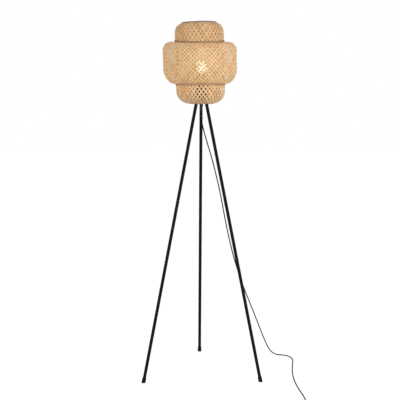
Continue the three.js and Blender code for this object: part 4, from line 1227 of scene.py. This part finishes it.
class LAMP_OT_lampholder(bpy.types.Operator):
    """Mould the two-part lampholder, its shade ring and what is inside"""

    bl_idname = "lamp.lampholder"
    bl_label = "Make the lampholder"

    def execute(self, context):
        base, top = ends("holder_cap")
        outer, inner, half, inside = 0.0195, 0.017, (base + top) / 2, base + 0.0025
        dome = arc((0.009, half), outer - 0.009, half - base, -90, 0, 12)
        cap = [(TUBE_HOLE, base), *dome, (outer, top - 0.0062), (0.0189, top - 0.0055),
               (0.0189, top - 0.0045), (outer, top - 0.0038), (outer, top), (inner, top), (inner, half),
               (0.009, inside), (TUBE_HOLE, inside)]
        lathe("lampholder_cap", cap, "plastic", "holder_cap", ease=0.0003, sides=72)

        base, top = ends("holder_shell")
        inner, flange, ledge = 0.0165, 0.0215, base + 0.003
        thread = threaded(outer, 0.0007, base + 0.0045, top - 0.005, 0.0025)
        shell = [(inner, base), (flange, base), (flange, ledge), (outer, ledge), *thread,
                 (outer, top - 0.003), (0.0188, top), (inner, top)]
        lathe("lampholder_shell", shell, "plastic", "holder_shell", ease=0.0003, sides=72)
        self.ring()

        base, top = ends("holder_core")
        wide, waist = 0.0162, 0.0155
        core = [(0, base), (wide, base), (wide, base + 0.004), (waist, base + 0.0045), (waist, top - 0.002),
                (wide, top), (0, top)]
        lathe("insulator_core", core, "ceramic", "holder_core", ease=0.0005, poles=True)
        screw = threaded_sleeve("holder_screw_shell", 0.0141, 0.0004, plain_top=0.002)
        lathe("screw_shell", screw, "brass", "holder_screw_shell", ease=0.0001)
        base, top = ends("holder_contact")
        contact = [(0, base), (0.004, base), (0.004, top - 0.0016), (0.0024, top), (0, top)]
        lathe("centre_contact", contact, "brass", "holder_contact", ease=0.0006, poles=True, sides=32)
        for side in ("left", "right"):
            self.terminal(side)
        return {"FINISHED"}

    def ring(self):
        """The shade ring: a flange and a skirt whose grips are a cosine of 24 waves round it."""
        base, top = ends("shade_ring")
        bore, skirt, flange, ledge = 0.0198, 0.0225, 0.027, base + 0.0025
        profile = [(bore, base), (flange, base), (flange, ledge), (skirt, ledge), (skirt, top), (bore, top)]
        grid = turned(eased(profile, 0.0005, closed=True), 192)
        spot = np.linalg.norm(grid[..., :2], axis=-1, keepdims=True)
        on_skirt = (spot > skirt - 0.0003) & (grid[..., 2:] > ledge + 0.0003)
        on_edge = spot > flange - 0.0005
        grip(grid, 24, np.where(on_skirt, 0.022, 0) + np.where(on_edge, 0.015, 0))
        grid_piece(on_axis(grid), "grip_ring", "plastic", "shade_ring", body="shade_ring", loop=True)

    def terminal(self, side):
        """A small round screw head with a slot across it."""
        node = f"terminal_screw_{side}"
        base, top = ends(node)
        grid = turned(eased([(0, base), (0.0024, base), (0.0024, top), (0, top)], 0.0004), 32)
        slot = (np.abs(grid[..., 1]) < 0.0004) & (grid[..., 2] < base + 0.0003)
        grid[..., 2] += np.where(slot, 0.0005, 0)
        grid_piece(grid + floor_point(node), f"terminal_{side}", "brass", node, poles=True)


class LAMP_OT_bulb(bpy.types.Operator):
    """Blow the globe, roll its screw cap and hang the filaments"""

    bl_idname = "lamp.bulb"
    bl_label = "Make the bulb"

    def execute(self, context):
        cap = threaded_sleeve("bulb_cap", 0.0132, 0.0007, plain_top=0.004)
        lathe("screw_cap", cap, "cap", "bulb_cap", body="bulb", ease=0.0001)
        base, top = ends("bulb_insulator")
        insulator = [(0, base), (0.0045, base), (0.0124, top - 0.0016), (0.0124, top), (0, top)]
        lathe("cap_insulator", insulator, "plastic", "bulb_insulator", body="bulb", ease=0.0006, poles=True)
        base, top = ends("bulb_contact")
        tip = [(0, base), (0.0028, base), (0.0042, base + 0.001), (0.0042, top), (0, top)]
        lathe("cap_contact", tip, "brass", "bulb_contact", body="bulb", ease=0.0008, poles=True, sides=32)
        self.globe()
        self.stem()
        self.filaments()
        return {"FINISHED"}

    def globe(self):
        """A hollow globe: a quadratic curve leads from the straight neck into the sphere. The profile runs
        down the inside from the pole, round the neck's edge and up the outside."""
        base, top = ends("bulb_glass")
        neck_r, wall = 0.0122, 0.001
        sphere = arc((0, top - GLOBE_RADIUS), GLOBE_RADIUS, GLOBE_RADIUS, -48.7, 90, 40)
        t = np.linspace(0, 1, 8, endpoint=False)[:, None]
        start, bend = np.array([(neck_r, base + 0.003), (neck_r, base + 0.0118)])
        neck = (1 - t) ** 2 * start + 2 * t * (1 - t) * bend + t**2 * sphere[0]
        line = np.concatenate([[(neck_r, base)], neck, sphere])
        normal = unit(np.stack([np.gradient(line[:, 1]), -np.gradient(line[:, 0])], axis=1))
        inner = (line - normal * wall)[::-1]
        line[-1, 0] = inner[0, 0] = 0
        grid = on_axis(turned(np.concatenate([inner, line]), 72))
        glass = grid_piece(grid, "globe", "glass", "bulb_glass", body="bulb", poles=True)
        glass.visible_shadow = False

    def stem(self):
        """The glass stem: a flared foot, a rod, and a button at its top."""
        base, top = ends("bulb_stem")
        foot, rod = 0.0108, 0.003
        stem = [(0, base), (foot, base), (foot, base + 0.001), (0.0042, base + 0.0045), (rod, base + 0.009),
                (rod, top - 0.003), (0.0036, top - 0.001), (0.0024, top), (0, top)]
        made = lathe("glass_stem", stem, "glass", "bulb_stem", body="bulb", ease=0.001, poles=True, sides=32)
        made.visible_shadow = False

    def filaments(self):
        """Four filament sticks with round ends that splay a little, and two cross wires that hold them."""
        base, top = ends("bulb_filaments")
        offset, spread, thick = 0.0048, 0.0024, 0.0009
        height = high("bulb_stem")[2] + 0.0012
        shape = Shape()
        for around in circle(4):
            out = np.array([math.cos(around), math.sin(around), 0])
            stick = turned(eased([(0, base), (thick, base), (thick, top), (0, top)], 0.0007), 16)
            splay = offset + spread * (stick[..., 2:] - height) / (top - base)
            shape.add(on_axis(stick + out * splay), poles=True)
        for direction in (RIGHT, np.cross(UP, RIGHT)):
            path = direction * np.linspace(-offset, offset, 12)[:, None] + UP * height
            shape.add(on_axis(swept(path, 0.0004, 8, start=UP)), caps=True)
        made = finish_piece(shape, "filament_sticks", "filament", "bulb_filaments", body="bulb")
        made.visible_shadow = made.visible_diffuse = False


# The cord and what is on it

# Millimetres in the frame: from the gland under the hub, down, and along the floor to the foot switch
HANGING_ROUTE = [
    [0, -71.25, 1129.92], [0.5, -71, 1104], [8, -67, 1060],
    [24, -58, 1003], [43, -46, 940], [60, -36, 876],
    [76, -26, 810], [90, -18, 742], [103, -10, 674], [117, -2, 606], [133, 7, 536], [152, 19, 466],
    [174, 32, 397], [199, 47, 328], [225, 62, 262], [250, 77, 198], [274, 91, 136], [297, 105, 78],
    [321, 119, 32], [348, 132, 9], [377, 137, 3], [404, 120, 2.9], [417, 86, 2.6], [416, 42, 2.6],
    [408, -10, 2.6], [400, -66, 2.6], [394, -124, 2.6], [391, -182, 2.6], [391, -240, 2.6],
    [394, -298, 2.6], [399, -354, 2.6], [404, -410, 2.6], [404, -464, 2.7], [394, -507, 4],
    [371, -537, 6.6], [352, -546.4, 8], [340.3, -547, 8.15], [320.8, -547, 8.15],
]
MILLIMETRE = 0.001
RELIEF_LENGTH = 0.020


def total(path):
    return float(distance_along(path)[-1])


def coil_path():
    """The coil's turns: they spiral in at a steady rate through half the loops, climb one pitch in the half
    turn in the middle, and spiral out again at the same rate. It starts and ends on the near side."""
    s = sizes("cord_sizes")
    t = np.linspace(0, s.coil_loops, s.coil_loops * 40 + 1)
    outer = s.coil_radius + s.coil_pitch * s.coil_loops / 4
    angle = -TAU / 4 - TAU * t
    radius = outer - s.coil_pitch * np.minimum(t, s.coil_loops - t)
    climb = s.coil_pitch * smooth(t, s.coil_loops / 2 - 0.25, s.coil_loops / 2 + 0.25)
    centre = (middle("cord_coil")[0], middle("switch_base")[1] + outer, low("cord_coil")[2] + s.radius)
    return centre + np.stack([radius * np.cos(angle), radius * np.sin(angle), climb], axis=1)


def plug_cord_path():
    """From the switch's far end along the floor, through the coil, and on to the plug."""
    s = sizes("cord_sizes")
    coil = coil_path()
    y = middle("switch_base")[1]
    exit_x, exit_z = low("switch_relief_out")[0], middle("switch_relief_out")[2]
    plug_x, plug_z = high("plug_relief")[0], middle("plug_relief")[2]
    inside = RIGHT * (RELIEF_LENGTH - 0.0006)
    coil_x, coil_z = coil[0, 0], coil[0, 2]
    top_z = coil_z + s.coil_pitch
    tail = [
        [exit_x, y, exit_z], [exit_x - 0.012, y, exit_z - 0.0006],
        [(exit_x + coil_x) / 2, y, (exit_z + coil_z) / 2], [coil_x + 0.018, y, coil_z + 0.0003],
        [coil_x + 0.0053, y, coil_z], coil[0],
    ]
    lead = [
        coil[-1], [coil_x - 0.0053, y, top_z], [coil_x - 0.02, y, top_z - 0.0002],
        [(coil_x + plug_x - 0.02) / 2, y, (top_z + plug_z) / 2], [plug_x + 0.012, y, plug_z + 0.0002],
        [plug_x, y, plug_z],
    ]
    turns = np.concatenate([spline(tail, 8)[:-1], coil, spline(lead, 8)[1:]])
    return np.concatenate([turns[:1] + inside, turns, turns[-1:] - inside])


class LAMP_OT_cords(bpy.types.Operator):
    """Lay the cord from the hub to the foot switch, and the coiled cord from the switch to the plug"""

    bl_idname = "lamp.cords"
    bl_label = "Lay the cords"

    def execute(self, context):
        radius = context.scene.cord_sizes.radius
        path = spline(np.array(HANGING_ROUTE) * MILLIMETRE, 9)
        supply = grid_piece(swept(path, radius), "supply_cord", "cord", "cord_hanging", caps=True)
        round(total(path), 3)
        path = plug_cord_path()
        stood_for = ("cord_tail", "cord_coil", "cord_lead")
        coiled = grid_piece(swept(path, radius, start=UP), "plug_cord", "cord", *stood_for, caps=True)
        round(total(path), 3)
        return {"FINISHED"}

    def pieces_for(self, nodes):
        """The pieces that show in place of these nodes, or the nodes themselves."""
        shown = []
        for o in bpy.context.scene.objects:
            if set(o.get("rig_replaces", [])) & set(nodes) or (o.name in nodes and not o.hide_render):
                shown.append(o)
        return shown


def rounded_outline(long, wide, corner, points=96):
    """A rectangle with round corners, at even distances, running anticlockwise from the middle of one end."""
    x, y = long / 2 - corner, wide / 2 - corner
    corners = [(x, y, 0), (-x, y, 90), (-x, -y, 180), (x, -y, 270)]
    line = np.concatenate([arc((cx, cy), corner, corner, start, start + 90, 12) for cx, cy, start in corners])
    line = np.concatenate([[[long / 2, 0]], line, [[long / 2, 0]]])
    run = distance_along(line)
    at = np.linspace(0, run[-1], points, endpoint=False)
    return np.stack([np.interp(at, run, line[:, k]) for k in (0, 1)], axis=1)


def shell_rows(rows, long, wide, corner):
    """Rings of a housing: each row says how far the outline is drawn in, and its height."""
    rings = []
    for inset, z in rows:
        outline = rounded_outline(long - 2 * inset, wide - 2 * inset, max(corner - inset, 0.0008))
        rings.append(np.concatenate([outline, np.full((len(outline), 1), z)], axis=1))
    return rings


class LAMP_OT_switch(bpy.types.Operator):
    """Mould the foot switch on the cord"""

    bl_idname = "lamp.switch"
    bl_label = "Make the foot switch"

    def execute(self, context):
        centre = floor_point("switch_base")
        long, wide = (high("switch_base") - low("switch_base"))[:2]
        corner, wall = 0.008, 0.002
        top = high("switch_base")[2]
        rows = [(0.0016, 0), (0.0006, 0.0003), (0, 0.0014), (0, top - 0.0004), (0.0004, top), (wall, top),
                (wall, wall)]
        rings = shell_rows(rows, long, wide, corner)
        tiny = [ring * (0.02, 0.02, 1) for ring in (rings[0], rings[-1])]
        grid = np.stack([tiny[0], *rings, tiny[1]]) + centre
        grid_piece(grid, "switch_tray", "plastic", "switch_base", caps=True)
        self.cover(centre, long, wide, corner)
        self.button(centre)
        self.spring()
        for side in ("in", "out"):
            relief(f"switch_relief_{side}", f"cord_relief_{side}", 1 if side == "in" else -1)
        return {"FINISHED"}

    def cover(self, centre, long, wide, corner):
        """The cover's top runs from its outline to a round hole for the button, with a soft dished rim."""
        base, top = ends("switch_cover")
        fillet, wall, rim_r, hole_r = 0.004, 0.002, 0.0135, 0.0113
        outer = [(0.0004, base), (0, base + 0.0004), (0, top - 0.0042)]
        outer += [
            (fillet - fillet * math.cos(a), top - fillet + fillet * math.sin(a))
            for a in np.radians(np.linspace(12, 90, 6))
        ]
        rings = shell_rows(outer, long, wide, corner)
        edge = rings[-1]
        hole = unit(edge * (1, 1, 0))
        rim = [(rim_r, top), (0.0128, top), (0.0122, top - 0.0004), (hole_r, top - 0.0006),
               (hole_r, top - wall)]
        rings += [edge + (hole * rim_r + UP * top - edge) * t for t in (0.25, 0.5, 0.75)]
        rings += [hole * r + UP * z for r, z in rim]
        inside = [(fillet, top - wall), (wall, top - fillet), (wall, base)]
        grid = np.stack(rings + shell_rows(inside, long, wide, corner)) + centre
        grid_piece(grid, "switch_lid", "plastic", "switch_cover", loop=True)

    def button(self, centre):
        """A round push button with a shallow dish on top."""
        node = "switch_button"
        base, top = ends(node)
        flange, flange_r, cap_r = base + 0.002, 0.013, 0.011
        profile = [(0, base), (flange_r, base), (flange_r, flange), (cap_r, flange), (cap_r, top - 0.0012),
                   (0.0098, top), (0.0085, top - 0.0001), (0.006, top - 0.0006), (0, top - 0.0009)]
        grid = turned(eased(profile, 0.0006), 72) + centre
        grid_piece(grid, "push_button", "plastic", node, body="switch_button", poles=True)

    def spring(self):
        """A coil spring whose end turns lie flat."""
        node = "switch_spring"
        foot, top = low(node), high(node)
        turns, wire = 5, 0.00045
        coil_r = (top[0] - foot[0]) / 2 - wire
        t = np.linspace(0, 1, turns * 20 + 1)
        angle = turns * TAU * t
        climb = foot[2] + wire + (top[2] - foot[2] - 2 * wire) * smooth(t, 0, 1)
        path = np.stack([coil_r * np.cos(angle), coil_r * np.sin(angle), climb], axis=1)
        centre = floor_point(node)
        shape = Shape().add(swept(path + centre, wire, 8, start=UP), caps=True)
        made = shape.object("press_spring", material("steel"))
        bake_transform(made)
        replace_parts(made, node)


def relief(node, name, facing):
    """A tapered cord relief with five grooves, its tip pointing along X the given way."""
    long, bore = RELIEF_LENGTH, sizes("cord_sizes").radius + 0.0001
    centre = middle(node)
    tip_x = high(node)[0] if facing > 0 else low(node)[0]
    neck, wide, narrow = 0.0042, 0.0052, 0.0031
    profile = [(bore, -0.0005), (neck, -0.0005), (neck, 0.0003), (wide, 0.0003), (wide, 0.0024)]
    for z in 0.0045 + np.arange(5) * 0.0028:
        profile += groove(wide + (narrow - wide) * z / long, z, 0.0009, 0.0009, 0.0001)
    profile += [(0.0032, long - 0.001), (0.0030, long), (bore, long)]
    base = np.array([tip_x - facing * long, centre[1], centre[2]])
    grid = placed(turned(eased(profile, 0.0003, closed=True), 48), base, (0, 1, 0), (facing, 0, 0))
    return grid_piece(grid, name, "rubber", node, loop=True)


class LAMP_OT_plug(bpy.types.Operator):
    """Mould the flat plug with its two pins, and the tie round the coil"""

    bl_idname = "lamp.plug"
    bl_label = "Make the plug"

    def execute(self, context):
        self.body()
        for side in ("left", "right"):
            self.pin(side)
        relief("plug_relief", "plug_cord_relief", 1)
        self.tie()
        return {"FINISHED"}

    def body(self):
        """Sections across the plug from its pins' face to its tail: each is a super-ellipse whose width and
        thickness follow the outline of a flat plug."""
        node = "plug_body"
        (x0, y0, z0), (x1, y1, z1) = low(node), high(node)
        t = np.concatenate([[0, 0.004, 0.02, 0.05], np.linspace(0.1, 0.9, 22), [0.95, 0.98, 0.996, 1]])
        wide, thick = (y1 - y0) / 2, (z1 - z0) / 2
        waist = 0.5 - 0.5 * np.cos(np.clip((t - 0.42) / 0.5, 0, 1) * math.pi)
        half_y = wide * (1 - 0.64 * waist)
        half_z = thick * (1 - 0.16 * waist)
        round_ends = np.sqrt(np.clip(1 - np.clip(1 - np.minimum(t, 1 - t) / 0.05, 0, 1) ** 2, 0, 1))
        shrink = 1 - 0.0016 * (1 - round_ends) / np.minimum(half_y, half_z)
        around_y, around_z = squared_circle(72, 0.4)
        y = (y0 + y1) / 2 + (half_y * shrink)[:, None] * around_y
        z = (z0 + z1) / 2 + (half_z * shrink)[:, None] * around_z
        grid = np.stack(np.broadcast_arrays((x0 + (x1 - x0) * t)[:, None], y, z), axis=-1)
        grid_piece(grid, "flat_plug", "plastic", node, caps=True)

    def pin(self, side):
        """A round pin with a black insulating sleeve over its root."""
        node = f"plug_pin_{side}"
        centre, root, tip = middle(node), high(node)[0], low(node)[0]
        long = root - tip

        def lie(points):
            return placed(points, (root, centre[1], centre[2]), (0, 1, 0), (-1, 0, 0))

        root_r, pin_r, root_end = 0.0016, 0.002, 0.0101
        brass = [(0, 0.0002), (root_r, 0.0002), (root_r, root_end), (pin_r, 0.0104), (pin_r, long - 0.0014),
                 (0.0012, long), (0, long)]
        lathe(f"pin_{side}", brass, "brass", node, ease=0.0005, place=lie, poles=True, sides=32)
        inner, outer, end = 0.00165, 0.0019, 0.0099
        sleeve = [(inner, 0), (outer, 0), (outer, end), (inner, end)]
        lathe(f"pin_sleeve_{side}", sleeve, "plastic", ease=0.0002, place=lie, sides=32)

    def tie(self):
        """A twist tie round the coil's turns: a flat loop in the plane through the coil's middle."""
        node = "coil_tie"
        centre = middle(node)
        half = (high(node) - low(node))[1:] / 2 - 0.0005
        y, z = squared_circle(64, 0.55)
        path = centre + np.stack([np.zeros(64), half[0] * y, half[1] * z], axis=1)
        out = unit(np.cross(round_loop(path), RIGHT))
        w, t = 0.003, 0.0004
        section = eased([(-w, -t), (w, -t), (w, t), (-w, t)], 0.0003, closed=True)
        loop = path[:, None] + section[:, :1] * RIGHT + section[:, 1:] * out[:, None]
        grid_piece(loop, "coil_strap", "rubber", node, loop=True)


class LAMP_OT_gland(bpy.types.Operator):
    """Turn the tapered gland under the hub and finish the cord inside"""

    bl_idname = "lamp.gland"
    bl_label = "Make the gland"

    def execute(self, context):
        node = "cord_gland"
        base, top = ends(node)
        head, socket = top - 0.012, top - 0.0073
        bore, tip_r, tail_r, face_r, head_r = 0.0028, 0.0039, 0.0056, 0.0068, 0.0075
        profile = [(bore, base), (tip_r, base)]
        for z in base + 0.004 + np.arange(4) * 0.0036:
            profile += groove(tip_r + (tail_r - tip_r) * (z - base) / 0.02, z, 0.0007, 0.001)
        profile += [(tail_r, head), (face_r, head), (head_r, head + 0.001), (head_r, top - 0.001),
                    (face_r, top), (TUBE_HOLE, top), (TUBE_HOLE, socket), (bore, socket)]
        grid = turned(eased(profile, 0.0003, closed=True), 72)
        on_head = (np.linalg.norm(grid[..., :2], axis=-1, keepdims=True) > 0.0066) & (grid[..., 2:] > head)
        grip(grid, 12, np.where(on_head, 0.07, 0))
        grid_piece(on_axis(grid), "gland", "plastic", node, loop=True)
        base, top = ends("cord_inner")
        r = context.scene.cord_sizes.radius
        cord = [(0, base), (r, base), (r, top), (0, top)]
        lathe("inner_cord", cord, "cord", "cord_inner", poles=True, sides=32)
        return {"FINISHED"}


KEPT_NODES = {
    "switch_block": "ceramic",
    "switch_screw_left": "steel",
    "switch_screw_right": "steel",
}


class LAMP_OT_kept_nodes(bpy.types.Operator):
    """Finish the frame's own pieces that stay as they are"""

    bl_idname = "lamp.kept_nodes"
    bl_label = "Finish the kept pieces"

    def execute(self, context):
        for name, node in frame["nodes"].items():
            finish = KEPT_NODES.get(name)
            if finish is None and not node.hide_render:
                raise RuntimeError(f"{name} is shown without a finish")
            node.data.materials.clear()
            node.data.materials.append(material(finish or "plastic"))
        return {"FINISHED"}


# Floor, light and camera

# The picture's width in pixels, and that of the camera's sensor in millimetres
IMAGE_SIZE = 400
SENSOR = 36.0


class LAMP_OT_stage(bpy.types.Operator):
    """Set the floor, the lights, the world and the camera"""

    bl_idname = "lamp.stage"
    bl_label = "Set the stage"

    def execute(self, context):
        context.scene.view_settings.view_transform = "Standard"
        self.camera(context.scene)
        self.world(context.scene)
        self.floor(context.scene.stage_settings)
        self.lights(context.scene.stage_settings)
        return {"FINISHED"}

    def camera(self, scene):
        s = scene.stage_settings
        data = bpy.data.cameras.new("camera")
        data.sensor_width = SENSOR
        data.lens = s.focal_pixels / IMAGE_SIZE * SENSOR
        camera = linked("camera", data)
        x, y, turn = s.aside, -s.distance, -s.turn
        camera.location = (
            AXIS[0] + x * math.cos(turn) - y * math.sin(turn),
            AXIS[1] + x * math.sin(turn) + y * math.cos(turn),
            s.height,
        )
        camera.rotation_euler = (math.pi / 2 - s.pitch, 0, turn)
        scene.camera = camera

    def world(self, scene):
        """Light from all round that is full white to look at and weaker on what it lights."""
        world = bpy.data.worlds.new("studio")
        world.use_nodes = True
        scene.world = world
        nodes = Nodes(world.node_tree)
        back = nodes.tree.nodes["Background"]
        strength = scene.stage_settings.world_light
        nodes.feed(back.inputs["Color"], (1, 1, 1))
        nodes.feed(back.inputs["Strength"], nodes.seen() * (1 - strength) + strength)

    def floor(self, s):
        """A pale floor. What the camera sees of it is mostly its own white, so that only the shadows
        under the feet and the cord darken it."""
        finish = Finish("pale_floor", roughness=0.9, base_color=(0.8, 0.8, 0.8), specular_ior_level=0.1)
        grain = finish.noise(finish.place(), 6.0, 2.0)
        tone = finish.ramp(grain, [(0.3, 0.30), (0.7, 0.31)])
        shown = finish.node("ShaderNodeBsdfDiffuse", {}, {"Color": tone})
        white = finish.node("ShaderNodeEmission", {}, {"Strength": s.floor_white})
        both = finish.node("ShaderNodeAddShader", {}, {0: shown, 1: white})
        plain = Value(finish, finish.shader.outputs[0])
        pick = finish.node("ShaderNodeMixShader", {}, {0: finish.seen(), 1: plain, 2: both})
        finish.feed(finish.tree.nodes["Material Output"].inputs["Surface"], pick)
        mesh = bpy.data.meshes.new("floor")
        wide = 12.0
        corners = [(-wide, -wide, 0), (wide, -wide, 0), (wide, wide, 0), (-wide, wide, 0)]
        mesh.from_pydata(corners, [], [(0, 1, 2, 3)])
        mesh.materials.append(finish.material)
        linked("floor", mesh)

    def lights(self, s):
        """Two large lamps that face the shade, and a small one in the bulb."""
        aim = Vector((0.0, -0.07, 1.0))
        for name, kind, place, size, power, tint in (
            ("key", "AREA", (1.9, -2.8, 1.9), 1.5, s.key_power, (0.92, 0.965, 1.0)),
            ("fill", "AREA", (-2.4, -1.6, 1.6), 1.6, s.fill_power, (1.0, 0.985, 0.96)),
            ("bulb_light", "POINT", BULB_CENTRE, 0.012, s.bulb_power, (1.0, 0.76, 0.46)),
        ):
            data = bpy.data.lights.new(name, kind)
            setattr(data, "size" if kind == "AREA" else "shadow_soft_size", size)
            data.energy, data.color = power, tint
            lamp = linked(name, data)
            lamp.location = place
            lamp.rotation_euler = (aim - lamp.location).to_track_quat("-Z", "Y").to_euler()


class LAMP_PT_panel(bpy.types.Panel):
    """Lists the steps in which the lamp is made"""

    bl_idname = "LAMP_PT_panel"
    bl_label = "Woven floor lamp"
    bl_space_type = "VIEW_3D"
    bl_region_type = "UI"
    bl_category = "Lamp"

    def draw(self, context):
        for step in STEPS:
            self.layout.operator(step.bl_idname)
        for name, group in GROUPS.items():
            box = self.layout.box()
            box.label(text=name.replace("_", " ").capitalize())
            for field in group.__annotations__:
                box.prop(getattr(context.scene, name), field)


GROUPS = {
    "shade_sizes": ShadeSizes,
    "weave_sizes": WeaveSizes,
    "rim_sizes": RimSizes,
    "stand_sizes": StandSizes,
    "cord_sizes": CordSizes,
    "lamp_colours": LampColours,
    "stage_settings": StageSettings,
}
STEPS = (
    LAMP_OT_stage,
    LAMP_OT_switch,
    LAMP_OT_plug,
    LAMP_OT_cords,
    LAMP_OT_weave,
    LAMP_OT_rims,
    LAMP_OT_wire_frame,
    LAMP_OT_legs,
    LAMP_OT_hub,
    LAMP_OT_gland,
    LAMP_OT_lampholder,
    LAMP_OT_bulb,
    LAMP_OT_kept_nodes,
)


def register():
    for group in GROUPS.values():
        bpy.utils.register_class(group)
    for name, group in GROUPS.items():
        setattr(bpy.types.Scene, name, PointerProperty(type=group))
    for step in STEPS:
        bpy.utils.register_class(step)
    bpy.utils.register_class(LAMP_PT_panel)


def unregister():
    bpy.utils.unregister_class(LAMP_PT_panel)
    for step in reversed(STEPS):
        bpy.utils.unregister_class(step)
    for name, group in GROUPS.items():
        delattr(bpy.types.Scene, name)
        bpy.utils.unregister_class(group)


def main():
    register()
    for step in STEPS:
        family, name = step.bl_idname.split(".")
        getattr(getattr(bpy.ops, family), name)()


if __name__ == "__main__":
    main()
